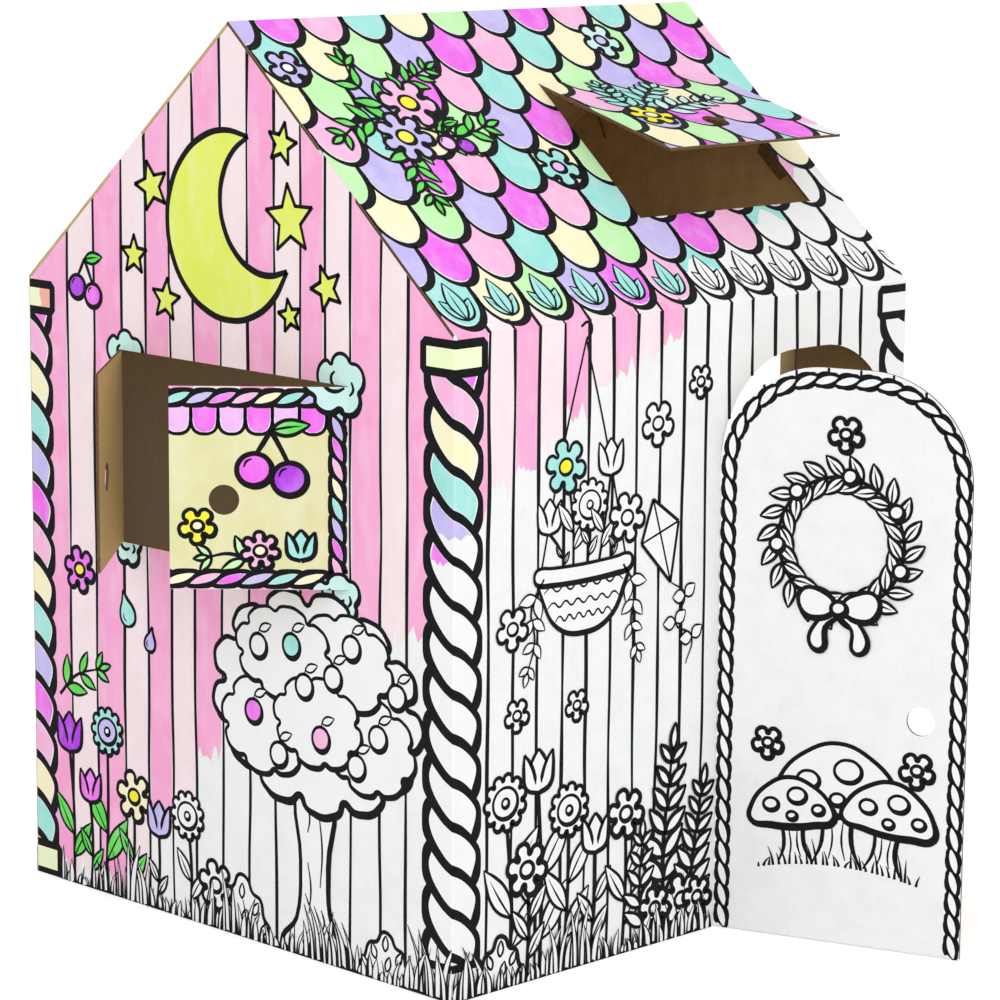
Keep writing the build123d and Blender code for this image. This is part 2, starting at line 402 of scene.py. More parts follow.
class PrintSheet:
    def __init__(self, name, body, place=None, pen=1.0):
        self.name, self.body, self.place = name, body, place
        self.strokes, self.washes = [], []
        self.pen = pen
        self.tops = ({}, {})  # highest wash and highest ink, by small squares of the sheet

    def raised(self, points, margin, ink):  # the level above what is drawn here already
        cell = film["cell"]
        runs = list(zip(points, points[1:])) if ink else [points]
        squares = set()
        for run in runs:
            spans = []
            for axis in (0, 1):
                low = math.floor(min(p[axis] for p in run) / cell - margin / cell)
                high = math.floor(max(p[axis] for p in run) / cell + margin / cell)
                spans.append(range(low, high + 1))
            squares |= {(i, j) for i in spans[0] for j in spans[1]}
        below = self.tops[:1] if ink else self.tops
        level = 1 + max(top.get(square, film["ground"]) for square in squares for top in below)
        for square in squares:
            self.tops[ink][square] = max(level, self.tops[ink].get(square, 0))
        return level

    def stroke(self, points, width, level=None, closed=False, smooth=True, ends=(0.55, 0.55)):
        if isinstance(width, (list, tuple)):
            widths = list(width)
        else:
            widths = [width * draw.uniform(0.9, 1.1) for _ in points]
        if not closed:
            widths[0] *= ends[0]
            widths[-1] *= ends[1]
        if level is None:
            widths = [w * self.pen for w in widths]
            level = self.raised(points + points[:1] if closed else points, max(widths) / 2, True)
        self.strokes.append((points, widths, level, closed, smooth))

    def wash(self, points, tint, level=None, smooth=False):
        level = self.raised(points, 0.0, False) if level is None else level
        self.washes.append((points, [1.0] * len(points), level, True, smooth, tint))

    def shape(self, points, tint, width, smooth=True, extra=0.8):  # a filled shape with its outline
        self.wash(points, tint, smooth=smooth)
        self.stroke(points, heavier(points, width, extra), closed=True, smooth=smooth)


def addSpline(curve, points, widths, level, closed, smooth):
    height = film["first"] + film["step"] * level
    spline = curve.splines.new("BEZIER" if smooth else "POLY")
    knots = spline.bezier_points if smooth else spline.points
    knots.add(len(points) - 1)
    for knot, (x, y), width in zip(knots, points, widths):
        knot.co = (x, y, height) if smooth else (x, y, height, 1.0)
        if smooth:
            knot.handle_left_type = knot.handle_right_type = "AUTO"
        knot.tilt = math.pi / 2
        knot.radius = width / 2
    spline.use_cyclic_u = closed


def penWork(splines, ribbon):  # curves to a bmesh: flat ribbons, or outlines that are filled
    curve = bpy.data.curves.new("penWork", "CURVE")
    curve.dimensions = "3D"
    curve.twist_mode = "Z_UP"
    curve.resolution_u = film["curveSteps"]
    curve.extrude = 1.0 if ribbon else 0.0
    for spline in splines:
        addSpline(curve, *spline[:5])
    holder = linked("penWork", curve)
    mesh = bpy.data.meshes.new_from_object(holder.evaluated_get(bpy.context.evaluated_depsgraph_get()))
    bm = bmesh.new()
    bm.from_mesh(mesh)
    bpy.data.objects.remove(holder)
    bpy.data.curves.remove(curve)
    bpy.data.meshes.remove(mesh)
    if not ribbon:
        bmesh.ops.edgeloop_fill(bm, edges=bm.edges[:])
    return bm


def outwardSides(corners):  # corners run anticlockwise
    for (x0, y0), (x1, y1) in zip(corners, corners[1:] + corners[:1]):
        yield Vector((x0, y0, 0)), Vector((y1 - y0, x0 - x1, 0)).normalized()


def cutAlong(bm, point, outward, clear=False):
    everything = bm.verts[:] + bm.edges[:] + bm.faces[:]
    bmesh.ops.bisect_plane(bm, geom=everything, plane_co=point, plane_no=outward, clear_outer=clear)


def trim(bm, corners):  # keeps what lies inside a convex outline
    for point, outward in outwardSides(corners):
        cutAlong(bm, point, outward, clear=True)


def cutAway(bm, corners):  # takes out what lies inside a convex outline
    sides = list(outwardSides(corners))
    low = [min(c[i] for c in corners) for i in (0, 1)]
    high = [max(c[i] for c in corners) for i in (0, 1)]

    def touches(face):
        spans = [[v.co[i] for v in face.verts] for i in (0, 1)]
        return all(min(spans[i]) < high[i] and max(spans[i]) > low[i] for i in (0, 1))

    for point, outward in sides:
        near = [f for f in bm.faces if touches(f)]
        around = {e for f in near for e in f.edges} | {v for f in near for v in f.verts}
        bmesh.ops.bisect_plane(bm, geom=near + list(around), plane_co=point, plane_no=outward)
    inside = [f for f in bm.faces if all((f.calc_center_median() - p).dot(out) < 1e-7 for p, out in sides)]
    bmesh.ops.delete(bm, geom=inside, context="FACES")


def layPrint(sheet, keeps, holes=(), bend=None):
    for kind, material in (("Wash", colourWash), ("Ink", blackInk)):
        bm = bmesh.new()
        tintLayer = bm.faces.layers.float_vector.new("tint")
        groups = {"ink": sheet.strokes} if kind == "Ink" else {}
        for wash in sheet.washes if kind == "Wash" else ():
            groups.setdefault(wash[5], []).append(wash)
        for tint, splines in groups.items():
            part = penWork(splines, kind == "Ink")
            for outline in keeps:
                kept = part.copy()
                trim(kept, outline)
                scratch = bpy.data.meshes.new("scratch")
                kept.to_mesh(scratch)
                kept.free()
                first = len(bm.faces)
                bm.from_mesh(scratch)
                bpy.data.meshes.remove(scratch)
                bm.faces.ensure_lookup_table()
                for face in bm.faces[first:]:
                    face[tintLayer] = tints.get(tint, inkTone)
            part.free()
        bmesh.ops.reverse_faces(bm, faces=[f for f in bm.faces if f.normal.z < 0])
        for hole in holes:
            cutAway(bm, hole)
        bmesh.ops.triangulate(bm, faces=[f for f in bm.faces if len(f.verts) > 4])
        if bend:
            bend(bm)
        else:
            bm.transform(sheet.place)
        name = sheet.name + kind
        mesh = bpy.data.meshes.new(name)
        bm.to_mesh(mesh)
        bm.free()
        mesh.materials.append(material)
        piece = linked(name, mesh)
        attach(piece, sheet.body)
        print("printed", name, len(mesh.polygons))


def moved(points, x, y, size=1.0, turn=0.0, flip=1.0):
    c, s = math.cos(turn), math.sin(turn)
    return [(x + size * (flip * px * c - py * s), y + size * (flip * px * s + py * c)) for px, py in points]


def ring(x, y, across, high=None, count=10, turn=0.0):
    high = across if high is None else high
    steps = [math.tau * i / count for i in range(count)]
    return moved([(across * math.cos(t), high * math.sin(t)) for t in steps], x, y, 1.0, turn)


def lobed(x, y, wide, high, lobes, dip=0.8, turn=0.0):  # an outline of round lobes
    points = []
    shoulder = dip + (1 - dip) * 0.62
    lobe = ((0.0, dip), (0.15, shoulder), (0.34, 0.985), (0.5, 1.0), (0.66, 0.985), (0.85, shoulder))
    for i in range(lobes):
        for share, reach in lobe:
            angle = math.tau * (i + share) / lobes + turn
            points.append((x + wide * reach * math.cos(angle), y + high * reach * math.sin(angle)))
    return points


def curved(points, steps=4):  # a soft line through the points
    made = []
    for i in range(len(points) - 1):
        p0, p1, p2, p3 = (points[min(max(k, 0), len(points) - 1)] for k in range(i - 1, i + 3))
        for step in range(steps):
            t = step / steps
            spot = []
            for a, b, c, d in zip(p0, p1, p2, p3):
                second, third = 2 * a - 5 * b + 4 * c - d, 3 * b - a - 3 * c + d
                spot.append(0.5 * (2 * b + (c - a) * t + second * t * t + third * t ** 3))
            made.append(tuple(spot))
    return made + [points[-1]]


def straight(x0, y0, x1, y1, steps=24):
    return [(x0 + (x1 - x0) * i / steps, y0 + (y1 - y0) * i / steps) for i in range(steps + 1)]


def box(left, low, right, high):
    return [(left, low), (right, low), (right, high), (left, high)]


def lengthsOf(path):
    total = [0.0]
    for (x0, y0), (x1, y1) in zip(path, path[1:]):
        total.append(total[-1] + math.hypot(x1 - x0, y1 - y0))
    return total


def alongPath(path, total, distance, aside=0.0):  # a point beside the path, and the heading there
    index = max(i for i in range(len(path) - 1) if total[i] <= distance or i == 0)
    (x0, y0), (x1, y1) = path[index], path[index + 1]
    run = total[index + 1] - total[index]
    dx, dy, step = (x1 - x0) / run, (y1 - y0) / run, distance - total[index]
    return (x0 + dx * step - dy * aside, y0 + dy * step + dx * aside), math.atan2(dy, dx)


def around(x, y, reach, angle):
    return (x + reach * math.cos(angle), y + reach * math.sin(angle))


# patterns

roofScales = {
    "pitch": 0.0775,
    "rowStep": 0.0715,
    "rows": 8,
    "columns": 13,
    "firstTip": 0.009,
    "firstCentre": -0.4765,
    "round": 0.05,
    "inset": 0.9,
    "order": ["lavender", "magenta", "rose", "aqua", "cream", "lime"],
    "rowShift": [2, 0, 3, 5, 1, 4, 2, 0],
    "line": [0.0056, 0.0054, 0.0062, 0.0078, 0.0096, 0.0111, 0.0114, 0.0105, 0.009],
    "sideLine": [0.009, 0.0078, 0.0068],
}


def scaleArc(centre, tip, steps=8):
    half = roofScales["pitch"] / 2
    angles = [math.pi * i / steps for i in range(steps + 1)]
    return [(centre - half * math.cos(t), tip + roofScales["round"] * (1 - math.sin(t))) for t in angles]


def drawScales(sheet, colouring, mark=None):
    look = roofScales
    half, rise = look["pitch"] / 2, look["rowStep"]
    for row in range(look["rows"]):
        tip = look["firstTip"] + rise * row
        start = look["firstCentre"] + (half if row % 2 else 0)
        for column in range(look["columns"]):
            centre = start + look["pitch"] * column
            bottom = scaleArc(centre, tip)
            rightTop = scaleArc(centre + half, tip + rise)[:5]
            leftTop = scaleArc(centre - half, tip + rise)[4:]
            body = bottom + rightTop[::-1][:-1] + leftTop[::-1][1:]
            if row == 0:
                sheet.wash(body, "paper", 1)
            share = colouring(centre, row)
            tint = look["order"][(column + look["rowShift"][row]) % len(look["order"])]
            edge, middle = centre + half, tip + (rise + look["round"]) / 2
            if share > 0:
                inset = look["inset"]
                inner = [(centre + (x - centre) * inset, middle + (y - middle) * inset) for x, y in body]
                level = tip + (rise + look["round"]) * (1 - share)
                if share < 1:
                    inner = [(x, max(y, level + 0.014 * math.sin(95 * x + 3 * column))) for x, y in inner]
                sheet.wash(inner, tint, 2)
            sheet.stroke(bottom, [t * draw.uniform(0.92, 1.08) for t in look["line"]], 3, ends=blunt)
            side = [(edge, tip + look["round"]), (edge - 0.0006, middle), (edge, tip + rise)]
            sheet.stroke(side, look["sideLine"], 3, ends=blunt)
            if mark and row == 0:
                mark(sheet, centre, tip, share)


# one strand of a twist from tip to tip, as shares of the rope's half width and of the pitch
strands = {
    "column": (
        [(-0.66, 0.8), (-0.25, 0.49), (0.33, 0.22), (0.73, -0.13), (0.81, -0.4), (0.66, -0.8)],
        [(0.33, -0.54), (-0.17, -0.29), (-0.6, 0.13), (-0.75, 0.5)],
    ),
    "chain": (
        [(-0.36, 0.53), (-0.08, 0.43), (0.26, 0.2), (0.45, -0.06), (0.49, -0.28), (0.36, -0.53)],
        [(0.08, -0.43), (-0.26, -0.2), (-0.45, 0.06), (-0.49, 0.28)],
    ),
    "rope": (
        [(-0.5, 0.58), (-0.25, 0.48), (0.02, 0.35), (0.3, 0.13), (0.46, -0.14), (0.53, -0.34), (0.5, -0.58)],
        [(0.25, -0.48), (-0.02, -0.35), (-0.3, -0.13), (-0.46, 0.14), (-0.53, 0.34)],
    ),
}
wholeStrand = -9.0  # a start beyond the strand's tip: it is coloured from end to end
ropeOrder = ["magenta", "rose", "cream", "aqua", "lavender"]


def drawRope(sheet, path, width, pitch, tintAt, kind="rope", level=3, swell=0.22, cusps=(0.25, 0.75)):
    total = lengthsOf(path)
    count = max(1, round(total[-1] / pitch))
    pitch = total[-1] / count
    spine, widths = [], []
    for step in range(10 * count + 1):
        waves = [1 - abs(math.sin(math.pi * (step / 10 - cusp))) for cusp in cusps]
        sides = [width / 2 * (1 - swell * wave ** 2) for wave in waves]
        spine.append(alongPath(path, total, pitch * step / 10, (sides[0] - sides[1]) / 2)[0])
        widths.append(sum(sides))
    sheet.stroke(spine, widths, level, smooth=False, ends=blunt)
    upper, lower = strands[kind]
    upperSide, lowerSide = curved(upper), curved([upper[-1]] + lower + [upper[0]])
    for number in range(count):
        centre, size = pitch * (number + 0.5), draw.uniform(0.97, 1.03)

        def strand(grow, start=wholeStrand):  # the colouring stops at the start, with a ragged end
            first = [(s, t) for s, t in upperSide[:-1] if t > start]
            last = [(s, t) for s, t in lowerSide[:-1] if t > start]
            teeth = []
            if start > -1:
                s0, s1 = first[-1][0], last[0][0]
                teeth = [(s0 + (s1 - s0) * i / 6, start + (0.06 if i % 2 else -0.05)) for i in range(1, 6)]
            spots = first + teeth + last
            spots = [(centre - t * pitch * grow * size, s * width / 2 * grow) for s, t in spots]
            return [alongPath(path, total, distance, aside)[0] for distance, aside in spots]

        sheet.wash(strand(1.0), "paper", level + 1)
        tint, start = tintAt(number) if tintAt else ("paper", wholeStrand)
        if tint != "paper":
            sheet.wash(strand(0.955, start), tint, level + 2)


boardTints = ["pink", "palePink"]


def drawBoards(sheet, boards, width=0.0048):  # each line between two boards: its place, foot and top
    for x, low, high in boards:
        steps = max(2, int((high - low) / 0.09))
        heights = [low + (high - low) * i / steps for i in range(steps + 1)]
        points = [(x + draw.uniform(-0.0015, 0.0015), y) for y in heights]
        sheet.stroke(points, [width * draw.uniform(0.7, 1.4) for _ in points], 1, ends=blunt)


def brushedBoard(sheet, left, right, low, high, tint, ragged):
    left, right = left + draw.uniform(0.0018, 0.0036), right - draw.uniform(0.0018, 0.0036)
    teeth = 9
    foot = []
    for i in range(teeth + 1):
        bite = ragged * draw.uniform(-1, 1) * (0.4 + 0.6 * (i % 2))
        foot.append((left + (right - left) * i / teeth, low + bite))
    sheet.wash([(left, high)] + foot + [(right, high)], tint, 0)


def colourBoards(sheet, edges, ends, top, ragged):  # from the top down to where the colouring stops
    for number, low in enumerate(ends):
        brushedBoard(sheet, edges[number], edges[number + 1], low, top, boardTints[number % 2], ragged)


def drawGrass(sheet, left, right, tall, tuft=0.0058):
    x, number, foot = left, 0, -0.002
    ground = sheet.raised([(left, 0.0), (right, tall)], 0.0, False)
    while x < right:
        level = ground + 2 * (number % 9)
        high = tall * draw.uniform(0.3, 1.0) * (0.66 + 0.34 * math.sin(x * 31 + 2))
        lean = draw.uniform(-0.34, 0.34) * high
        tip = (x + lean, high)
        if number % 5 in (1, 3, 4):  # a broader blade with its inside left white
            reach, bend = draw.uniform(0.0028, 0.0056), lean * 0.25
            blade = [(x - reach, foot), (x - reach * 0.8 + bend, high * 0.55), tip]
            blade += [(x + reach * 0.9 + bend, high * 0.5), (x + reach, foot)]
            sheet.wash(blade, "paper", level)
            for side in (blade[:3], blade[:1:-1]):
                widths = [draw.uniform(0.003, 0.0046), draw.uniform(0.0018, 0.0028), 0.001]
                sheet.stroke(side, widths, level + 1, ends=blunt)
        else:
            widths = [draw.uniform(0.0036, 0.0066), draw.uniform(0.002, 0.0034), 0.0006]
            sheet.stroke([(x, foot), (x + lean * 0.2, high * 0.5), tip], widths, level + 1, ends=blunt)
        x += draw.uniform(0.5, 1.5) * tuft
        number += 1
    turf = [(left + (right - left) * i / 90, 0.0) for i in range(91)]
    sheet.stroke(turf, [max(0.0004, draw.uniform(-0.004, 0.01)) for _ in turf], ground + 19, ends=blunt)


# small motifs, each laid over what is drawn before it


def drawLeaf(sheet, x, y, length, width, turn, tint="paper", line=0.004, rib=True):
    shares = [(i / 8, math.sin(math.pi * (i / 8) ** 0.85)) for i in range(9)]
    upper = moved([(length * t, width / 2 * w) for t, w in shares], x, y, 1, turn)
    lower = moved([(length * t, -width / 2 * w) for t, w in shares], x, y, 1, turn)
    sheet.wash(upper + lower[-2:0:-1], tint)
    for side in (upper, lower):
        sheet.stroke(side[::2], line, ends=(0.9, 0.5))
    if rib:
        middle = [(0, 0), (length * 0.4, width * 0.04), (length * 0.78, 0)]
        sheet.stroke(moved(middle, x, y, 1, turn), line * 0.7, ends=(1, 0.2))


def drawSpray(sheet, points, pairs, leaf, tint="paper", line=0.004, slim=0.36):
    total = lengthsOf(points)
    sheet.stroke(points, line * 1.3, ends=(1, 0.5))
    for pair in range(pairs):
        spot, heading = alongPath(points, total, total[-1] * (0.2 + 0.74 * pair / max(1, pairs - 1)))
        size = leaf * (1.0 - 0.5 * pair / pairs)
        for side in (-1, 1):
            drawLeaf(sheet, *spot, size, size * slim, heading + side * 0.8, tint, line, rib=False)
    drawLeaf(sheet, *points[-1], leaf * 0.6, leaf * 0.6 * slim, heading, tint, line, rib=False)


def drawStar(sheet, x, y, size, tint, line=0.0052, turn=0.0):
    points = []
    for i in range(10):
        reach, angle = size * (0.46 if i % 2 else 1.0), math.pi / 2 + math.pi * i / 5 + turn
        points.append(around(x, y, reach, angle))
    sheet.wash(points, tint)
    for (x0, y0), (x1, y1) in zip(points, points[1:] + points[:1]):
        over = line * 0.3 / math.hypot(x1 - x0, y1 - y0)
        dx, dy = (x1 - x0) * over, (y1 - y0) * over
        sheet.stroke([(x0 - dx, y0 - dy), (x1 + dx, y1 + dy)], line, smooth=False, ends=blunt)


def drawMoon(sheet, x, y, size, tint, turn=0.0, line=0.0085):
    outer = [(math.cos(t), math.sin(t)) for t in (math.radians(48 + 264 * i / 24) for i in range(25))]
    tipX, tipY = outer[0]
    centre = 0.66
    radius = math.hypot(centre - tipX, tipY)
    first = math.atan2(tipY, tipX - centre)
    spread = [-first - (math.tau - 2 * first) * i / 16 for i in range(17)]
    inner = [(centre + radius * math.cos(t), radius * math.sin(t)) for t in spread]
    outer, inner = moved(outer, x, y, size, turn), moved(inner, x, y, size, turn)
    sheet.wash(outer + inner[1:-1], tint)
    for side in (outer, inner):
        sheet.stroke(side[::2], line, ends=(0.8, 0.8))


def drawBlossom(sheet, x, y, size, tint="paper", heart="paper", petals=6, line=0.006, turn=0.3):
    sheet.shape(lobed(x, y, size, size, petals, 0.56, turn), tint, line, extra=0.4)
    sheet.shape(ring(x, y, size * 0.33, size * 0.29, 8), heart, line * 0.8, extra=0.4)


def drawDaisy(sheet, x, y, size, tint="paper", heart="paper", line=0.0048):
    sheet.shape(lobed(x, y, size, size, 11, 0.78), tint, line, extra=0.4)
    sheet.shape(ring(x, y, size * 0.58, size * 0.54, 12), heart, line * 0.8)
    sheet.shape(ring(x, y, size * 0.16, count=8), "paper", line * 0.7)


tulipLook = {
    "cup": [(0, -0.05), (-0.42, 0.12), (-0.52, 0.55), (-0.5, 1.0), (-0.26, 0.72),
            (0, 1.08), (0.26, 0.72), (0.5, 1.0), (0.52, 0.55), (0.42, 0.12)],
    "outer": [(0, -0.05), (0.42, 0.12), (0.52, 0.55), (0.5, 1.0)],
    "inner": [(0.5, 1.0), (0.28, 0.74), (0.12, 0.36), (0.1, 0.2)],
    "tip": [(0, 1.08), (0.18, 0.88), (0.27, 0.72)],
}


def drawTulip(sheet, x, y, size, tint="paper", line=0.0054):
    sheet.wash(moved(tulipLook["cup"], x, y, size), tint)
    for side in (-1, 1):
        weights = {"outer": 1.25 if side > 0 else 1.0, "inner": 1.0, "tip": 1.0}
        for part, ends in (("outer", (1, 0.6)), ("inner", (0.6, 0.3)), ("tip", (0.7, 0.7))):
            sheet.stroke(moved(tulipLook[part], x, y, size, 0, side), line * weights[part], ends=ends)


def drawStem(sheet, x, y, footX, footY, leafTint="paper", leaves=2, line=0.006):
    middle = ((x + footX) / 2 + 0.12 * (footX - x) + 0.004, (y + footY) / 2)
    sheet.stroke([(x, y), middle, (footX, footY)], line, ends=blunt)
    for number in range(leaves):
        side, share = (-1 if number % 2 else 1), 0.2 + 0.17 * number
        length = (y - footY) * 0.36
        base = (footX + (middle[0] - footX) * 2 * share, footY + (y - footY) * share)
        drawLeaf(sheet, *base, length, length * 0.34, math.pi / 2 - side * 0.6, leafTint)


def drawFlowers(sheet, rows, leaves=2):  # kind, place, size, foot, then the leaves' and petals' tints
    for kind, x, y, size, footX, *look in rows:
        drawStem(sheet, x, y, footX, 0.0, look[0] if look else "paper", leaves)
        kind(sheet, x, y, size, *look[1:])


def drawToadstool(sheet, x, y, size, line, turn):
    stem = [(-0.14, 0.52), (-0.12, 0.2), (-0.2, 0.0), (0.0, -0.04), (0.2, 0.0), (0.12, 0.2), (0.14, 0.52)]
    cap = [(-0.5, 0.48), (-0.47, 0.66), (-0.26, 0.88), (0.0, 0.97), (0.26, 0.88), (0.47, 0.66)]
    cap += [(0.5, 0.48), (0.25, 0.42), (0.0, 0.4), (-0.25, 0.42)]
    sheet.wash(moved(stem, x, y, size, turn), "paper", smooth=True)
    for side, weight in ((stem[:3], 0.9), (stem[:3:-1], 1.15)):
        sheet.stroke(moved(side, x, y, size, turn), line * weight, ends=(1, 0.4))
    for px in (-0.045, 0.05):
        sheet.stroke(moved([(px, 0.36), (px * 0.8, 0.2), (px * 1.4, 0.06)], x, y, size, turn), line * 0.5)
    sheet.shape(moved(cap, x, y, size, turn), "paper", line)
    for px, py, reach in ((-0.24, 0.66, 0.09), (0.08, 0.76, 0.11), (0.32, 0.6, 0.07), (0.0, 0.53, 0.06)):
        sheet.shape(moved(ring(px, py, reach, reach * 0.8, 8), x, y, size, turn), "paper", line * 0.7)


bushLook = {
    "outline": [(-1.0, -0.1), (-1.06, 0.22), (-0.86, 0.42), (-0.66, 0.72), (-0.36, 0.78), (-0.12, 1.0),
                (0.2, 0.96), (0.4, 0.76), (0.7, 0.68), (0.84, 0.4), (1.06, 0.24), (1.0, -0.1)],
    "leaves": [(-0.72, 0.14, 2.1), (-0.4, 0.42, 1.9), (-0.02, 0.62, 1.5),
               (0.04, 0.22, 1.3), (0.44, 0.4, 1.1), (0.72, 0.12, 0.9)],
}


def drawBush(sheet, x, wide, high, line=0.0056):
    sheet.shape([(x + wide * px, high * py) for px, py in bushLook["outline"]], "paper", line)
    for px, py, heading in bushLook["leaves"]:
        drawLeaf(sheet, x + wide * px, high * py, 0.022, 0.01, heading, "paper", line * 0.6, rib=False)


def drawCherries(sheet, x, y, size, tintPair, leafTint="leaf", line=0.005):
    for (dx, dy), tint in zip(((-0.62, -1.5), (0.7, -1.85)), tintPair):
        cx, cy = x + dx * size, y + dy * size
        stalk = [(x, y), (x + dx * size * 0.5, y + dy * size * 0.35), (cx, cy + size * 0.5)]
        sheet.stroke(stalk, line * 1.1, ends=(1, 0.8))
        sheet.shape(ring(cx, cy, size * 0.66, size * 0.62, 10), tint, line * 1.1, extra=0.4)
        shine = [(cx - size * px, cy + size * py) for px, py in ((0.4, 0.1), (0.3, 0.32), (0.1, 0.42))]
        sheet.stroke(shine, line * 0.6)
    drawLeaf(sheet, x, y, size * 1.5, size * 0.6, 0.15, leafTint, line * 0.8)


def drawDrop(sheet, x, y, size, tint, line=0.0042, turn=0.0):
    half = [(0, 1.0), (0.16, 0.62), (0.42, 0.2), (0.46, -0.15), (0.3, -0.42), (0, -0.52)]
    sheet.wash(moved(half + [(-px, py) for px, py in half[-2:0:-1]], x, y, size, turn), tint)
    for side in (-1, 1):
        sheet.stroke(moved(half, x, y, size, turn, side), line * (1.3 if side > 0 else 1.0), ends=(0.8, 1))
    sheet.stroke(moved([(-0.24, 0.1), (-0.26, -0.12), (-0.14, -0.28)], x, y, size, turn), line * 0.6)


def drawPuff(sheet, x, y, size, tint="mint", line=0.005, turn=0.35):
    outline = []
    lobe = ((-0.4, 0.88), (-0.24, 0.98), (0.0, 1.03), (0.24, 0.98), (0.4, 0.88), (0.5, 0.8))
    for i, reach in enumerate((1.0, 0.9, 1.06, 0.92, 1.02)):
        for step, share in lobe:
            outline.append(around(x, y, size * reach * share, turn + math.tau * (i + step) / 5))
    sheet.shape(outline, tint, line)
    longCurl = [(-0.3, 0.36), (-0.46, 0.18), (-0.36, -0.1), (-0.08, -0.2), (0.18, -0.1)]
    for curl in (longCurl, [(0.44, 0.1), (0.52, -0.14), (0.36, -0.34)]):
        sheet.stroke(moved(curl, x, y, size), line * 1.1)


def drawBow(sheet, x, y, size, tint="paper", line=0.0044):
    for side in (-1, 1):
        loop = [(0.1, 0.05), (0.5, 0.42), (0.95, 0.4), (1.0, -0.05), (0.6, -0.28)]
        tail = [(0.06, -0.1), (0.34, -0.5), (0.42, -1.05), (0.72, -0.95), (0.62, -0.45)]
        sheet.shape(moved(tail, x, y, size, 0, side), tint, line)
        sheet.shape(moved(loop, x, y, size, 0, side), tint, line)
    sheet.shape(ring(x, y, size * 0.2, size * 0.18, 8), tint, line)


treeLook = {
    "trunk": [(-0.062, 0.0), (-0.036, 0.04), (-0.028, 0.12), (-0.034, 0.22), (0.0, 0.25),
              (0.034, 0.22), (0.026, 0.12), (0.034, 0.04), (0.064, 0.0)],
    "grain": [(-0.012, 0.05, 0.12), (0.01, 0.09, 0.19), (-0.014, 0.16, 0.2), (0.014, 0.03, 0.06)],
    "crown": 0.345,  # height of its middle
    "puffs": [(0.0, 0.0, 0.205, 0.15, 13), (-0.095, -0.045, 0.09, 0.068, 8),
              (0.105, -0.04, 0.086, 0.066, 8), (0.055, 0.062, 0.094, 0.066, 8),
              (-0.06, 0.058, 0.096, 0.064, 8), (0.005, -0.025, 0.086, 0.062, 8)],
    "fruit": [(-0.12, -0.03), (-0.045, 0.07), (0.012, -0.045), (0.12, -0.025), (0.07, 0.085), (-0.02, 0.02),
              (0.155, 0.035), (0.08, -0.07), (-0.11, 0.06), (-0.07, -0.08), (0.035, 0.04)],
}


def drawTree(sheet, x, fruitTints, flip=1.0):
    look = treeLook
    sheet.shape(moved(look["trunk"], x, 0.01, 1, 0, flip), "paper", 0.0066)
    for px, low, high in look["grain"]:
        grain = [(px, low), (px + 0.004, (low + high) / 2), (px - 0.002, high)]
        sheet.stroke(moved(grain, x, 0.01, 1, 0, flip), 0.0036)
    for px, py, wide, high, lobes in look["puffs"]:
        outline = lobed(x + px * flip, look["crown"] + py, wide, high, lobes, 0.86, 0.2)
        sheet.shape(outline, "paper", 0.0066 if lobes > 8 else 0.0048)
    for (px, py), tint in zip(look["fruit"], fruitTints + ["paper"] * len(look["fruit"])):
        fx, fy = x + px * flip, look["crown"] + py
        sheet.shape(ring(fx, fy, 0.0165, count=10), tint, 0.0046)
        sheet.stroke([(fx, fy + 0.014), (fx + 0.003, fy + 0.026)], 0.0038)
        drawLeaf(sheet, fx + 0.002, fy + 0.022, 0.026, 0.011, 0.4, "paper", 0.003, rib=False)


def drawBasket(sheet, x, y, size, flowers):  # a hanging basket
    for side in (-1, 1):
        cord = [(x + side * size * 0.5, y), (x + side * size * 0.27, y + size * 0.95), (x, y + size * 1.86)]
        sheet.stroke(cord, 0.0042, ends=blunt)
    hook = ((0.0, 1.86), (0.01, 1.93), (0.004, 2.0), (-0.01, 1.97))
    sheet.stroke([(x + px, y + size * py) for px, py in hook], 0.0052, ends=blunt)
    for kind, dx, dy, reach, *look in flowers:
        drawStem(sheet, x + dx * size, y + dy * size, x + dx * size * 0.55, y)
        kind(sheet, x + dx * size, y + dy * size, reach, *look)
    bowl = [(-0.5, 0.0), (-0.46, -0.22), (-0.3, -0.44), (0.0, -0.52), (0.3, -0.44), (0.46, -0.22)]
    bowl += [(0.5, 0.0), (0.25, 0.0), (0.0, 0.0), (-0.25, 0.0)]
    sheet.shape(moved(bowl, x, y, size), "paper", 0.006)
    for row, wide in ((-0.12, 0.46), (-0.25, 0.42), (-0.37, 0.33)):
        wave = [(-wide + 2 * wide * i / 12, row + (0.022 if i % 2 else -0.022)) for i in range(13)]
        sheet.stroke(moved(wave, x, y, size), 0.0036)
    rim = [(0.0, -0.095), (0.2, -0.092), (0.38, -0.083), (0.51, -0.07), (0.555, -0.045), (0.57, 0.0)]
    rim += [(0.555, 0.045), (0.51, 0.066), (0.38, 0.056), (0.2, 0.048), (0.0, 0.045)]
    rim += [(-px, py) for px, py in rim[-2:0:-1]]
    sheet.shape(moved(rim, x, y, size), "paper", 0.006)
    for side in (-1, 1):
        trail = [(side * 0.46, -0.02), (side * 0.6, -0.24), (side * 0.56, -0.52), (side * 0.64, -0.76)]
        drawSpray(sheet, moved(trail, x, y, size), 4, 0.032, line=0.0034, slim=0.5)


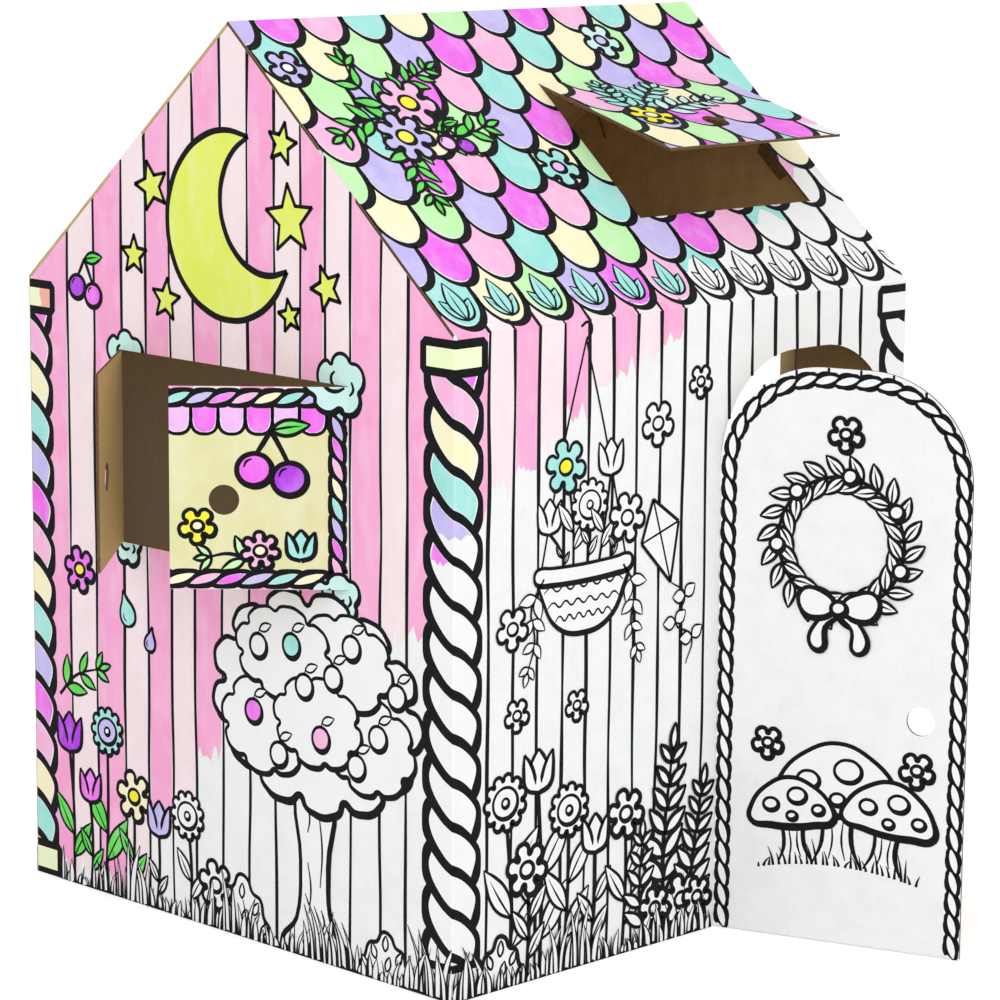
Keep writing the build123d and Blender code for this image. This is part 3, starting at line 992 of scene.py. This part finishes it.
def drawKite(sheet, x, y, size, turn):
    body = moved([(0, 1.0), (0.62, 0.2), (0, -1.0), (-0.62, 0.2)], x, y, size, turn)
    sheet.wash(body, "paper")
    for (x0, y0), (x1, y1) in zip(body, body[1:] + body[:1]):
        middle = ((x0 + x1) / 2, (y0 + y1) / 2)
        sheet.stroke([(x0, y0), middle, (x1, y1)], [0.0062] * 3, smooth=False, ends=blunt)
    for first, last in ((0, 2), (1, 3)):
        sheet.stroke([body[first], body[last]], 0.004, smooth=False, ends=blunt)
    tail = moved([(0, -1.0), (0.35, -1.5), (-0.1, -1.95), (0.3, -2.5), (-0.05, -3.0)], x, y, size, turn)
    sheet.stroke(tail, 0.004)
    for spot in tail[1:4]:
        for heading in (0.3, math.pi - 0.3):
            drawLeaf(sheet, *spot, size * 0.4, size * 0.3, turn + heading, "paper", 0.0038, rib=False)


def drawWreath(sheet, x, y, size):
    sheet.stroke(ring(x, y, size, count=20), 0.005, closed=True)
    for i in range(22):
        angle = math.tau * i / 22 + 0.1
        for side in (-1, 1):
            heading = angle + math.pi / 2 + side * 0.75
            drawLeaf(sheet, *around(x, y, size, angle), size * 0.44, size * 0.18, heading, "paper", 0.0044)
    for i in range(7):
        angle = math.tau * i / 7 + 0.55
        berry = ring(*around(x, y, size * 1.02, angle), size * 0.115, count=9)
        sheet.shape(berry, "paper", 0.0044)
    drawBow(sheet, x, y - size, size * 0.62, line=0.0056)


# the window gable

gable = {
    "lines": [-0.338, -0.281, -0.222, -0.172, -0.121, -0.073, -0.018,
              0.036, 0.088, 0.138, 0.184, 0.2325, 0.289, 0.337],
    "left": -0.4176,  # the printed face stops at the lap
    "overRun": 0.006,  # board lines run on under the roof's edge
    "colourEnds": [0.02, 0.02, 0.02, 0.02, 0.13, 0.17, 0.24, 0.27,
                   0.3, 0.33, 0.36, 0.4, 0.44, 0.45, 0.46],
    "grass": 0.095,
    "stars": [(0.118, 0.972, 0.046, 0.1), (0.104, 1.068, 0.028, -0.2), (-0.156, 0.995, 0.034, 0.3),
              (-0.194, 0.9, 0.027, 0.0), (0.188, 0.89, 0.03, 0.4), (-0.128, 0.846, 0.029, -0.1),
              (0.118, 0.848, 0.022, 0.2)],
    "flowers": [
        (drawTulip, -0.345, 0.19, 0.052, -0.338, "leaf", "plum"),
        (drawDaisy, -0.262, 0.232, 0.034, -0.268, "leaf", "aqua", "lavender"),
        (drawTulip, -0.3, 0.125, 0.044, -0.3, "leaf", "magenta"),
        (drawBlossom, -0.205, 0.15, 0.036, -0.212, "leaf", "cream", "sunny"),
        (drawTulip, -0.152, 0.105, 0.046, -0.158, "paper", "lavender"),
        (drawDaisy, -0.092, 0.145, 0.034, -0.086),
    ],
}
half, sill, head = house["windowHalf"], house["windowSill"], house["windowHead"]
gableHoles = [box(-half, sill, half, head)]
windowPuffs = [(half - 0.012, sill - 0.01, 0.034), (half - 0.012, head + 0.002, 0.042),
               (0.014 - half, sill - 0.004, 0.029), (0.014 - half, head - 0.006, 0.036)]


def gableTop(a):
    return ridge - house["underRoof"] / slopeCos - abs(a) * (ridge - eave) / halfWidth


def gableKeeps(left, right):  # the wall up to the roof's underside, and the two tongues
    slopes = [(right, gableTop(right)), (0.0, gableTop(0)), (left, gableTop(left))]
    keeps = [[(left, 0.0), (right, 0.0)] + slopes]
    rise = house["underRoof"] / slopeCos - film["gap"] / 2
    low, high = ((ridge - z) * halfWidth / (ridge - eave) for z in house["tongue"])
    for side in (-1, 1):
        foot = [(side * low, gableTop(low)), (side * high, gableTop(high))]
        quad = foot + [(x, z + rise) for x, z in foot[::-1]]
        keeps.append(quad if side < 0 else quad[::-1])
    return keeps


def gableBoards():  # beside, below and above the window
    tops = {a: gableTop(a) + gable["overRun"] for a in gable["lines"]}
    inner = [a for a in gable["lines"] if abs(a) < half]
    outer = [a for a in gable["lines"] if abs(a) > half]
    boards = [(a, 0.0, tops[a]) for a in outer]
    return boards + [(a, 0.0, sill) for a in inner] + [(a, head, tops[a]) for a in inner]


gableSheet = PrintSheet("gable", "house", placeOn((-halfLength, 0, 0), (0, -1, 0), up))
colourBoards(gableSheet, [gable["left"]] + gable["lines"] + [halfWidth], gable["colourEnds"], ridge, 0.022)
drawBoards(gableSheet, gableBoards())
for x, y, size in windowPuffs:
    drawPuff(gableSheet, x, y, size)
drawMoon(gableSheet, 0.0, 0.955, 0.124, "lemon", 0.42)
for x, y, size, turn in gable["stars"]:
    drawStar(gableSheet, x, y, size, "lemon", turn=turn)
drawCherries(gableSheet, -0.3, 0.885, 0.026, ("plum", "magenta"))
drawBlossom(gableSheet, -0.318, 0.452, 0.032, "magenta", "sunny")
drawDrop(gableSheet, -0.215, 0.405, 0.034, "aqua", turn=0.3)
drawDrop(gableSheet, -0.168, 0.372, 0.024, "lavender", turn=-0.2)
drawSpray(gableSheet, [(-0.365, 0.268), (-0.33, 0.3), (-0.278, 0.318)], 3, 0.046, "leaf")
drawFlowers(gableSheet, gable["flowers"])
drawTree(gableSheet, 0.165, ["magenta", "aqua", "rose"])
drawBush(gableSheet, 0.02, 0.052, 0.085)
drawBush(gableSheet, 0.3, 0.046, 0.066)
drawBlossom(gableSheet, -0.034, 0.06, 0.034)
drawGrass(gableSheet, -0.37, halfWidth, gable["grass"])

# the front wall

frontWall = {
    "firstLine": -0.3785,
    "pitch": 0.045,
    "boards": 17,
    "line": 0.0055,
    "colourEnds": [0.62, 0.655, 0.672, 0.7, 0.735, 0.765, 0.785, 0.8, 0.815],
    "finePen": 0.78,
    "boldPen": 1.12,  # for the plants at the foot
    "basket": [
        (drawTulip, -0.4, 0.34, 0.042),
        (drawBlossom, -0.22, 0.86, 0.036, "aqua", "sunny"),
        (drawDaisy, 0.06, 0.52, 0.034),
        (drawTulip, 0.3, 0.74, 0.044),
        (drawBlossom, 0.5, 0.36, 0.033),
    ],
    "blossoms": [(-0.068, 0.705, 0.03), (0.014, 0.752, 0.022), (-0.335, 0.47, 0.028),
                 (-0.325, 0.356, 0.022), (-0.215, 0.352, 0.021)],
    "flowers": [
        (drawDaisy, -0.345, 0.245, 0.038, -0.332),
        (drawTulip, -0.285, 0.25, 0.052, -0.28),
        (drawDaisy, -0.228, 0.215, 0.036, -0.236),
        (drawBlossom, -0.305, 0.15, 0.036, -0.304),
        (drawTulip, -0.178, 0.15, 0.048, -0.186),
        (drawBlossom, -0.12, 0.19, 0.034, -0.124),
    ],
    "sprays": [
        ([(-0.04, 0.0), (-0.046, 0.12), (-0.03, 0.26)], 7, 0.064),
        ([(0.004, 0.0), (0.012, 0.1), (0.03, 0.2)], 7, 0.054),
        ([(-0.078, 0.0), (-0.092, 0.07), (-0.088, 0.15)], 5, 0.046),
    ],
    "sprayLine": 0.094,  # share of the leaf's length
    "footBlossoms": [(-0.01, 0.036), (0.022, 0.028), (-0.062, 0.03)],
}
wallPlace = placeOn((0, -halfWidth, 0), (1, 0, 0), up)
wallSheet = PrintSheet("frontWall", "house", wallPlace, frontWall["finePen"])
wallLines = [frontWall["firstLine"] + frontWall["pitch"] * i for i in range(frontWall["boards"])]
wallEdges = [-halfLength] + wallLines


def doorwayTop(x, margin=0.0):  # where a board line above or beside the doorway starts
    reach = abs(x - doorMiddle)
    if reach >= doorHalf - margin:
        return 0.0
    past = max(0.0, reach - house["doorFlat"] / 2)
    return doorSpring + math.sqrt((doorCorner - margin) ** 2 - past ** 2)


colourBoards(wallSheet, wallEdges, frontWall["colourEnds"], eave, 0.016)
drawBoards(wallSheet, [(x, doorwayTop(x), eave) for x in wallLines], frontWall["line"])
drawBasket(wallSheet, -0.205, 0.53, 0.16, frontWall["basket"])
drawKite(wallSheet, -0.058, 0.548, 0.06, 0.3)
for x, y, size in frontWall["blossoms"]:
    drawBlossom(wallSheet, x, y, size, petals=5)
wallSheet.pen = frontWall["boldPen"]
drawFlowers(wallSheet, frontWall["flowers"], 3)
for points, pairs, leaf in frontWall["sprays"]:
    drawSpray(wallSheet, points, pairs, leaf, line=leaf * frontWall["sprayLine"])
drawBush(wallSheet, -0.352, 0.04, 0.07)
for x, size in frontWall["footBlossoms"]:
    drawBlossom(wallSheet, x, 0.04 + size * 0.3, size)
drawGrass(wallSheet, -halfLength, house["doorLeft"] - 0.004, 0.09)
drawGrass(wallSheet, doorRight + 0.004, halfLength, 0.07)

# the front roof and its hatch

roofPrint = {
    "colourEnds": [(0.0, 0.07), (0.2, 0.29), (0.37, 0.45)],  # fully and partly coloured, by row
    "boardFoot": 0.045,
    "bouquet": [
        ([(-0.27, 0.355), (-0.3, 0.3), (-0.31, 0.225)], 5, 0.05),
        ([(-0.26, 0.365), (-0.33, 0.37), (-0.385, 0.345)], 4, 0.05),
        ([(-0.25, 0.37), (-0.215, 0.43), (-0.16, 0.455)], 5, 0.046),
        ([(-0.245, 0.35), (-0.19, 0.33), (-0.13, 0.345)], 4, 0.052),
        ([(-0.27, 0.375), (-0.3, 0.43), (-0.295, 0.475)], 3, 0.048),
    ],
    "blossoms": [
        (-0.395, 0.47, 0.032, "lavender", "paper"),
        (-0.055, 0.262, 0.036, "aqua", "lilac"),
        (0.205, 0.49, 0.034, "mint", "lavender"),
    ],
    "hatchSprays": [
        ([(0.115, 0.29), (0.15, 0.335), (0.205, 0.372)], 0.05, "aqua"),
        ([(0.125, 0.28), (0.19, 0.305), (0.27, 0.315)], 0.046, "mint"),
        ([(0.11, 0.29), (0.1, 0.34), (0.118, 0.39)], 0.042, "aqua"),
    ],
}
frontSlope = placeOn((0, -halfWidth, eave), (1, 0, 0), (0, slopeCos, slopeSin))
roofSheet = PrintSheet("frontRoof", "house", frontSlope)


def frontColouring(x, row):  # how much of a scale is coloured in
    full, part = roofPrint["colourEnds"][row] if row < 3 else (1.0, 1.0)
    return 1.0 if x < full else 0.5 if x < part else 0.0


def eaveLeaf(sheet, centre, tip, share):  # a small three-part leaf on each scale at the eave
    tint = "aqua" if share > 0.6 else "paper"
    for turn, length in ((0.62, 0.044), (-0.62, 0.044), (0.0, 0.064)):
        drawLeaf(sheet, centre, tip + 0.014, length, length * 0.42, math.pi / 2 + turn, tint, 0.0036)


colourBoards(roofSheet, wallEdges, [0.0] * len(frontWall["colourEnds"]), 0.05, 0.0)
drawBoards(roofSheet, [(x, 0.0, roofPrint["boardFoot"]) for x in wallLines])
drawScales(roofSheet, frontColouring, eaveLeaf)
for points, pairs, leaf in roofPrint["bouquet"]:
    drawSpray(roofSheet, points, pairs, leaf, "leaf", 0.0046)
drawBlossom(roofSheet, -0.235, 0.395, 0.046, "rose", "sunny", 6)
drawBlossom(roofSheet, -0.282, 0.335, 0.044, "lavender", "sunny", 7)
drawCherries(roofSheet, -0.205, 0.352, 0.022, ("lilac", "plum"))
for x, y, size, tint, heart in roofPrint["blossoms"]:
    drawBlossom(roofSheet, x, y, size, tint, heart, 5)
for points, leaf, tint in roofPrint["hatchSprays"]:
    drawSpray(roofSheet, points, 5, leaf, tint, 0.0044, 0.44)
drawBlossom(roofSheet, 0.106, 0.276, 0.036, "sunny", "cream", 6)

# the hatch carries on the roof's print
left, right, low, high = house["skylight"]
hatchSheet = PrintSheet("hatch", "roof_hatch", placeOn(hatchHinge - hatchUp * high, (1, 0, 0), hatchUp))
hatchSheet.strokes, hatchSheet.washes = roofSheet.strokes, roofSheet.washes
skylightOutline = box(left, low, right, high)
gap, creaseGap = film["gap"], film["creaseGap"]
hatchOutline = box(left + gap, low + gap, right - gap, high - creaseGap)
hatchHole = ring((left + right) / 2, high - 0.176, house["fingerHole"], count=24)

# the door

doorLook = {
    "side": 0.0124,  # from the edge to the rope's middle
    "top": 0.0172,
    "rope": 0.0236,
    "pitch": 0.0292,
    "tuft": {"blades": 30, "left": 0.064, "step": 0.0078, "top": 0.106, "middle": 0.178, "round": 1.1},
    "toadstools": [(0.176, 0.175, 0.0), (0.118, 0.12, 0.1), (0.24, 0.13, -0.12)],
    "blossoms": [(0.075, 0.265, 0.022), (0.286, 0.25, 0.024), (0.176, 0.69, 0.024)],
}
doorSheet = PrintSheet("door", "door", placeOn(doorHinge, doorAcross, up))
inset, wide = doorLook["side"], house["doorWidth"]
quarter = [math.pi / 2 * i / 20 for i in range(21)]
sideReach, topReach = doorCorner - inset, doorCorner - doorLook["top"]
arch = [(doorCorner - sideReach * math.cos(t), doorSpring + topReach * math.sin(t)) for t in quarter]
arch += [(wide - x, y) for x, y in arch[::-1]]
doorPath = straight(inset, 0.002, inset, doorSpring)[:-1] + arch
doorPath += straight(wide - inset, doorSpring, wide - inset, 0.002)[1:]
rope, pitch = doorLook["rope"], doorLook["pitch"]
drawRope(doorSheet, doorPath, rope, pitch, None, "chain", swell=0.54, cusps=(0.1, 0.9))
for x in wallLines:  # board lines that run out past the rope
    if abs(x - doorMiddle) < doorHalf - 0.02:
        reach = x - house["doorLeft"]
        tick = [(reach, doorwayTop(x, 0.0086)), (reach, doorwayTop(x, 0.001))]
        doorSheet.stroke(tick, 0.0034, 2, smooth=False, ends=blunt)
drawWreath(doorSheet, 0.172, 0.545, 0.088)
for x, size, turn in doorLook["toadstools"]:
    drawToadstool(doorSheet, x, 0.105, size, 0.0062, turn)
tuft = doorLook["tuft"]
for i in range(tuft["blades"]):  # a tuft of grass at their foot
    x = tuft["left"] + tuft["step"] * i + draw.uniform(-0.002, 0.002)
    low = tuft["top"] - tuft["round"] * (x - tuft["middle"]) ** 2
    tip = (x + draw.uniform(-0.011, 0.011), low + draw.uniform(0.012, 0.04) * (1.0 if i % 4 else 0.5))
    blade = [(x, low), ((x * 2 + tip[0]) / 3, (low + tip[1]) / 2), tip]
    doorSheet.stroke(blade, [0.0042, 0.0028, 0.0008], ends=blunt)
for x, y, size in doorLook["blossoms"]:
    drawBlossom(doorSheet, x, y, size, petals=5)
doorHole = ring(0.289, 0.317, house["fingerHole"], count=24)

# the shutters

shutterLook = {
    "rope": 0.0265,
    "sideRope": 0.0248,
    "pitch": 0.0285,
    "sidePitch": 0.0275,
    "lowPitch": 0.0325,
    "scallop": 0.0345,
    "drop": 0.036,
    "cup": [(0.0, 0.0), (0.01, -0.55), (0.1, -0.84), (0.28, -0.97), (0.5, -1.0),
            (0.72, -0.97), (0.9, -0.84), (0.99, -0.55), (1.0, 0.0)],
    "order": ["aqua", "lavender", "magenta", "rose", "cream"],
    "holeAt": (0.158, 0.117),  # from the crease and the sill
}


def drawShutter(sheet, side, coloured=True):  # side is -1 where the crease is on the left
    look = shutterLook
    low, high, rope = sill + 0.0145, head - 0.0155, look["rope"]

    def edge(x):
        return x if side < 0 else -x

    def dye(tint):
        return tint if coloured else "paper"

    def ropeTint(number):
        return dye(look["order"][number % 5]), wholeStrand

    def lowTint(number):
        return dye(look["order"][4 - number % 5]), wholeStrand

    boardEdges = sorted([a for a in gable["lines"] if -half < a < half] + [-half, half])
    shift = half if side > 0 else -half
    for number, (x0, x1) in enumerate(zip(boardEdges, boardEdges[1:])):
        tint = dye(boardTints[(number + 1) % 2])
        brushedBoard(sheet, x0 - shift, x1 - shift, sill - 0.01, head + 0.01, tint, 0.0)
    inner, outer = sorted((edge(0.004), edge(half + 0.01)))
    sheet.wash(box(inner, low, outer, high), dye("butter"), 1)
    top = high - rope * 0.4
    count = math.ceil(half / look["scallop"])
    for i in range(count):
        x1 = half + 0.006 - look["scallop"] * i
        x0, drop, step = x1 - look["scallop"], look["drop"], look["scallop"]
        cup = [(x0 + step * px, top + drop * py) for px, py in look["cup"]]
        middle = (x0 + x1) / 2
        inner = [(middle + (x - middle) * 0.85, top + (y - top) * 0.93) for x, y in cup]
        sheet.wash([(edge(x), y) for x, y in cup], "paper", 2)
        sheet.wash([(edge(x), y) for x, y in inner], dye("magenta" if i % 2 else "lilac"), 3)
        sheet.stroke([(edge(x), y) for x, y in cup], 0.0044, 4, ends=blunt)
    sideX, free, crease = edge(look["sideRope"] / 2 + 0.001), edge(half + 0.004), edge(0.0)
    for path, width, pitch, tintAt in (
        ((sideX, high, sideX, low), look["sideRope"], look["sidePitch"], ropeTint),
        ((free, high, crease, high), rope, look["pitch"], ropeTint),
        ((free, low, crease, low), rope, look["lowPitch"], lowTint),
    ):
        drawRope(sheet, straight(*path), width, pitch, tintAt, level=5)
    for y, size in ((sill - 0.01, 0.034), (head + 0.002, 0.042)):
        drawPuff(sheet, edge(0.012), y, size, dye("mint"))
    drawCherries(sheet, edge(0.098), 0.712, 0.034, (dye("magenta"), dye("plum")), dye("leaf"), 0.0062)
    drawBlossom(sheet, edge(0.192), 0.588, 0.024, dye("sunny"), dye("cream"), 5, 0.005)
    twig = [(edge(x), y) for x, y in ((0.12, 0.54), (0.15, 0.552), (0.178, 0.548))]
    drawSpray(sheet, twig, 2, 0.034, dye("lime"))
    drawBlossom(sheet, edge(0.112), 0.556, 0.025, dye("rose"), dye("cream"), 7, 0.005)
    drawTulip(sheet, edge(0.06), 0.545, 0.036, dye("aqua"))


shutterSheets = []
for nodeName, (name, end, side, degrees, liner) in shutters.items():
    sheet = PrintSheet(name, nodeName, placeOn(*shutterPlaces[nodeName], up))
    drawShutter(sheet, side, end < 0)
    shutterSheets.append((side, sheet))

# rope columns at the corners

columnLook = {
    "half": 0.0532,
    "aside": -0.0028,
    "rope": 0.105,
    "top": 0.8574,
    "low": 0.0054,
    "strands": 15,
    "reach": 0.07,
    "cap": (0.8055, 0.842),
    "base": (0.003, 0.044),
    "frame": 0.012,
    "corner": 0.004,
    "smudge": [(0.024, 0.0), (0.026, 0.012), (0.022, 0.022), (0.025, 0.0365),
               (0.052, 0.0365), (0.052, 0.0)],
}


def drawColumn(sheet, coloured):  # unfolded, with the corner at zero
    look = columnLook
    top, low, aside = look["top"], look["low"], look["aside"]
    left, right = aside - look["half"], aside + look["half"]

    def tintAt(number):  # the colouring stops part of the way down
        start = wholeStrand if number < coloured - 2 else -0.05 if number < coloured - 1 else 0.36
        return ropeOrder[number % len(ropeOrder)] if number < coloured else "paper", start

    spine, pitch = straight(aside, top, aside, low, 60), (top - low) / look["strands"]
    drawRope(sheet, spine, look["rope"], pitch, tintAt, "column", swell=0.16, cusps=(0.5, 0.5))
    for (low, high), isColoured in ((look["cap"], coloured > 0), (look["base"], coloured > 14)):
        sheet.wash(box(left, low, right, high), "capCream" if isColoured else "paper", 8)
        if coloured > 14 and low > 0.5:
            sheet.wash([(x, low + rise) for x, rise in look["smudge"]], "salmon", 9)
        soft = look["corner"]
        frameLine = [(left + soft, low), (right - soft, low), (right, low + soft), (right, high - soft)]
        frameLine += [(right - soft, high), (left + soft, high), (left, high - soft), (left, low + soft)]
        sheet.stroke(frameLine, [look["frame"]] * 8, 10, closed=True, smooth=False)


def wrapCorner(corner, leftWay, rightWay, radius):  # folds a flat print round an upright corner
    corner, leftWay, rightWay = Vector(corner), Vector(leftWay), Vector(rightWay)
    arc = radius * math.pi / 4

    def bend(bm):
        for share in (-1.0, -0.5, 0.0, 0.5, 1.0):
            cutAlong(bm, (arc * share, 0, 0), (1, 0, 0))
        for vert in bm.verts:
            s, z, lift = vert.co
            if s <= -arc:
                spot = corner + leftWay * (radius - s - arc) - rightWay * lift
            elif s >= arc:
                spot = corner + rightWay * (radius + s - arc) - leftWay * lift
            else:
                angle = (s + arc) / (2 * arc) * math.pi / 2
                heading = rightWay * math.cos(angle) + leftWay * math.sin(angle)
                spot = corner + (leftWay + rightWay) * radius - heading * (radius + lift)
            vert.co = (spot.x, spot.y, z)

    return bend


# where each column stands, which ways its walls run, and how many strands are coloured
corners = {
    "nearColumn": ((-halfLength, -halfWidth, 0), (0, 1, 0), (1, 0, 0), 6),
    "farColumn": ((-halfLength, halfWidth, 0), (1, 0, 0), (0, -1, 0), 17),
    "rightColumn": ((halfLength, -halfWidth, 0), (-1, 0, 0), (0, 1, 0), 0),
    "backColumn": ((halfLength, halfWidth, 0), (0, -1, 0), (-1, 0, 0), 0),
}
for name, (corner, leftWay, rightWay, coloured) in corners.items():
    sheet = PrintSheet(name, "house")
    drawColumn(sheet, coloured)
    reach, top = columnLook["reach"], columnLook["cap"][1] + columnLook["frame"] / 2
    outline = box(-reach, 0.0, reach, top)
    layPrint(sheet, [outline], bend=wrapCorner(corner, leftWay, rightWay, house["foldRadius"]))

# the sides that the photograph doesn't show: the same print, hardly coloured in

farGable = {
    "stars": [(-0.125, 0.96, 0.04), (-0.085, 1.06, 0.028), (0.15, 0.99, 0.032),
              (0.18, 0.89, 0.026), (-0.18, 0.88, 0.028), (0.08, 0.83, 0.024)],
    "flowers": [
        (drawTulip, 0.12, 0.21, 0.052, 0.126),
        (drawDaisy, 0.195, 0.26, 0.036, 0.2),
        (drawTulip, 0.27, 0.18, 0.048, 0.274),
        (drawBlossom, 0.33, 0.23, 0.036, 0.334),
        (drawDaisy, 0.06, 0.15, 0.034, 0.064),
    ],
}
rightGable = PrintSheet("rightGable", "house", placeOn((halfLength, 0, 0), (0, 1, 0), up))
drawBoards(rightGable, gableBoards())
for x, y, size in windowPuffs:
    drawPuff(rightGable, x, y, size, "paper")
drawMoon(rightGable, 0.0, 0.955, 0.115, "paper", 2.6)
for x, y, size in farGable["stars"]:
    drawStar(rightGable, x, y, size, "paper", turn=x * 3)
drawFlowers(rightGable, farGable["flowers"], 3)
drawTree(rightGable, -0.15, [], -1.0)
drawBush(rightGable, 0.0, 0.054, 0.085)
drawGrass(rightGable, -halfWidth, halfWidth, gable["grass"])

backLook = {
    "firstLine": -0.3935,
    "boards": 18,
    "colourEnds": [(17, 0.3), (16, 0.42), (15, 0.55), (14, 0.66), (13, 0.76)],
    "sprays": [
        ([(0.34, 0.0), (0.346, 0.12), (0.33, 0.27)], 0.062),
        ([(0.29, 0.0), (0.282, 0.1), (0.262, 0.19)], 0.052),
    ],
    "flowers": [
        (drawTulip, 0.07, 0.19, 0.052, 0.076),
        (drawDaisy, 0.145, 0.23, 0.036, 0.15),
        (drawBlossom, 0.205, 0.165, 0.036, 0.21),
    ],
    "colouredRoof": (0.62, 0.55),  # fully and partly coloured beyond these, further in row by row
    "rowShift": 0.09,
}
backWall = PrintSheet("backWall", "house", placeOn((0, halfWidth, 0), (-1, 0, 0), up))
backLines = [backLook["firstLine"] + frontWall["pitch"] * i for i in range(backLook["boards"])]
backEdges = backLines + [halfLength]
for number, low in backLook["colourEnds"]:
    left, right = backEdges[number:number + 2]
    brushedBoard(backWall, left, right, low, eave, boardTints[number % 2], 0.016)
drawBoards(backWall, [(x, 0.0, eave) for x in backLines])
drawBasket(backWall, 0.2, 0.5, 0.165, [row[:4] for row in frontWall["basket"]])
drawTree(backWall, -0.17, [])
drawKite(backWall, 0.02, 0.64, 0.075, -0.45)
for points, leaf in backLook["sprays"]:
    drawSpray(backWall, points, 7, leaf, line=0.0044)
drawFlowers(backWall, backLook["flowers"], 3)
drawGrass(backWall, -halfLength, halfLength, 0.09)


def backColouring(x, row):
    reach = x + backLook["rowShift"] * row
    full, part = backLook["colouredRoof"]
    return 1.0 if reach > full else 0.5 if reach > part else 0.0


backSlope = placeOn((0, halfWidth, eave), (-1, 0, 0), (0, -slopeCos, slopeSin))
backRoofSheet = PrintSheet("backRoof", "house", backSlope)
drawBoards(backRoofSheet, [(x, 0.0, roofPrint["boardFoot"]) for x in backLines])
drawScales(backRoofSheet, backColouring, eaveLeaf)
print("drawn")

# the print is laid on the board

wallOutline = box(-halfLength, 0.0, halfLength, eave)
roofOutline = box(-halfLength, 0.0, halfLength, slopeLength)
layPrint(gableSheet, gableKeeps(gable["left"], halfWidth), gableHoles)
layPrint(wallSheet, [wallOutline])
layPrint(roofSheet, [roofOutline], [skylightOutline])
layPrint(hatchSheet, [hatchOutline], [hatchHole])
layPrint(doorSheet, [box(0.0, 0.0, wide, house["doorTop"])], [doorHole])
for side, sheet in sorted(shutterSheets, key=lambda row: row[0]):
    near, far = sorted((-side * creaseGap, -side * (half - gap / 2)))
    across, rise = shutterLook["holeAt"]
    hole = ring(-side * across, sill + rise, house["fingerHole"], count=24)
    layPrint(sheet, [box(near, sill + gap, far, head - gap)], [hole])
layPrint(rightGable, gableKeeps(-halfWidth, -gable["left"]), gableHoles)
layPrint(backWall, [wallOutline])
layPrint(backRoofSheet, [roofOutline])

# camera, light and floor

view = {
    "place": (-3.6271, -3.683, 1.4782),
    "azimuth": 45.068,
    "pitch": 10.3,
    "roll": 0.444,
    "focal": 3748.99,  # in pixels of the frame
    "frame": 1000,
    "sensor": 36.0,
}
azimuth, pitch, roll = (math.radians(view[k]) for k in ("azimuth", "pitch", "roll"))
level = math.cos(pitch)
forward = Vector((math.sin(azimuth) * level, math.cos(azimuth) * level, -math.sin(pitch)))
sideways = Vector((math.cos(azimuth), -math.sin(azimuth), 0))
upwards = sideways.cross(forward)
cameraRight = sideways * math.cos(roll) + upwards * math.sin(roll)
cameraUp = upwards * math.cos(roll) - sideways * math.sin(roll)
camera = linked("camera", bpy.data.cameras.new("camera"))
camera.data.sensor_width = view["sensor"]
camera.data.sensor_fit = "HORIZONTAL"
camera.data.lens = view["focal"] / view["frame"] * view["sensor"]
camera.data.clip_end = 200.0
turning = Matrix((cameraRight, cameraUp, -forward)).transposed().to_4x4()
camera.matrix_world = Matrix.Translation(view["place"]) @ turning
bpy.context.scene.camera = camera

studio = {
    "world": 0.78,
    "floorGlow": 0.42,
    "floorTone": 0.86,
    "floorSize": 60.0,
    "floorDrop": 0.0005,
    "aim": (0, 0, 0.6),
    "lamps": {  # power, size and place
        "keyLamp": (74.0, 3.6, (-4.2, -2.6, 3.2)),
        "fillLamp": (32.0, 3.0, (0.8, -4.2, 2.4)),
    },
}
for name, (power, size, place) in studio["lamps"].items():
    lamp = linked(name, bpy.data.lights.new(name, "AREA"))
    lamp.data.energy = power
    lamp.data.size = size
    lamp.location = place
    lamp.rotation_euler = (Vector(studio["aim"]) - Vector(place)).to_track_quat("-Z", "Y").to_euler()

world = bpy.data.worlds.new("studio")
bpy.context.scene.world = world
world.use_nodes = True
tree = world.node_tree
back = tree.nodes["Background"]
back.inputs["Color"].default_value = (1, 1, 1, 1)
strength = tree.nodes.new("ShaderNodeMapRange")  # white where it is seen, softer where it lights
strength.inputs["To Min"].default_value = studio["world"]
strength.inputs["To Max"].default_value = 1.0
paths = tree.nodes.new("ShaderNodeLightPath")
seen = paths.outputs["Is Camera Ray"]
for ray in ("Is Glossy Ray", "Is Transmission Ray"):
    either = tree.nodes.new("ShaderNodeMath")
    either.operation = "MAXIMUM"
    tree.links.new(seen, either.inputs[0])
    tree.links.new(paths.outputs[ray], either.inputs[1])
    seen = either.outputs[0]
tree.links.new(seen, strength.inputs["Value"])
tree.links.new(strength.outputs[0], back.inputs["Strength"])

floorMesh = bpy.data.meshes.new("floor")
bm = bmesh.new()
bmesh.ops.create_grid(bm, x_segments=8, y_segments=8, size=studio["floorSize"])
bmesh.ops.translate(bm, verts=bm.verts, vec=(0, 0, -studio["floorDrop"]))
bm.to_mesh(floorMesh)
bm.free()
floor = linked("floor", floorMesh)
floorFinish = Finish("paleFloor")
floorFinish.surface((*[studio["floorTone"]] * 3, 1), 0.9, 0.0)
floorFinish.shader.inputs["Emission Color"].default_value = (1, 1, 1, 1)
seen = floorFinish.node("LightPath").outputs["Is Camera Ray"]
glow = floorFinish.times(seen, studio["floorGlow"])
floorFinish.feed(floorFinish.shader.inputs["Emission Strength"], glow)
floorMesh.materials.append(floorFinish.material)

bpy.context.scene.view_settings.view_transform = "Standard"
print("scene ready")
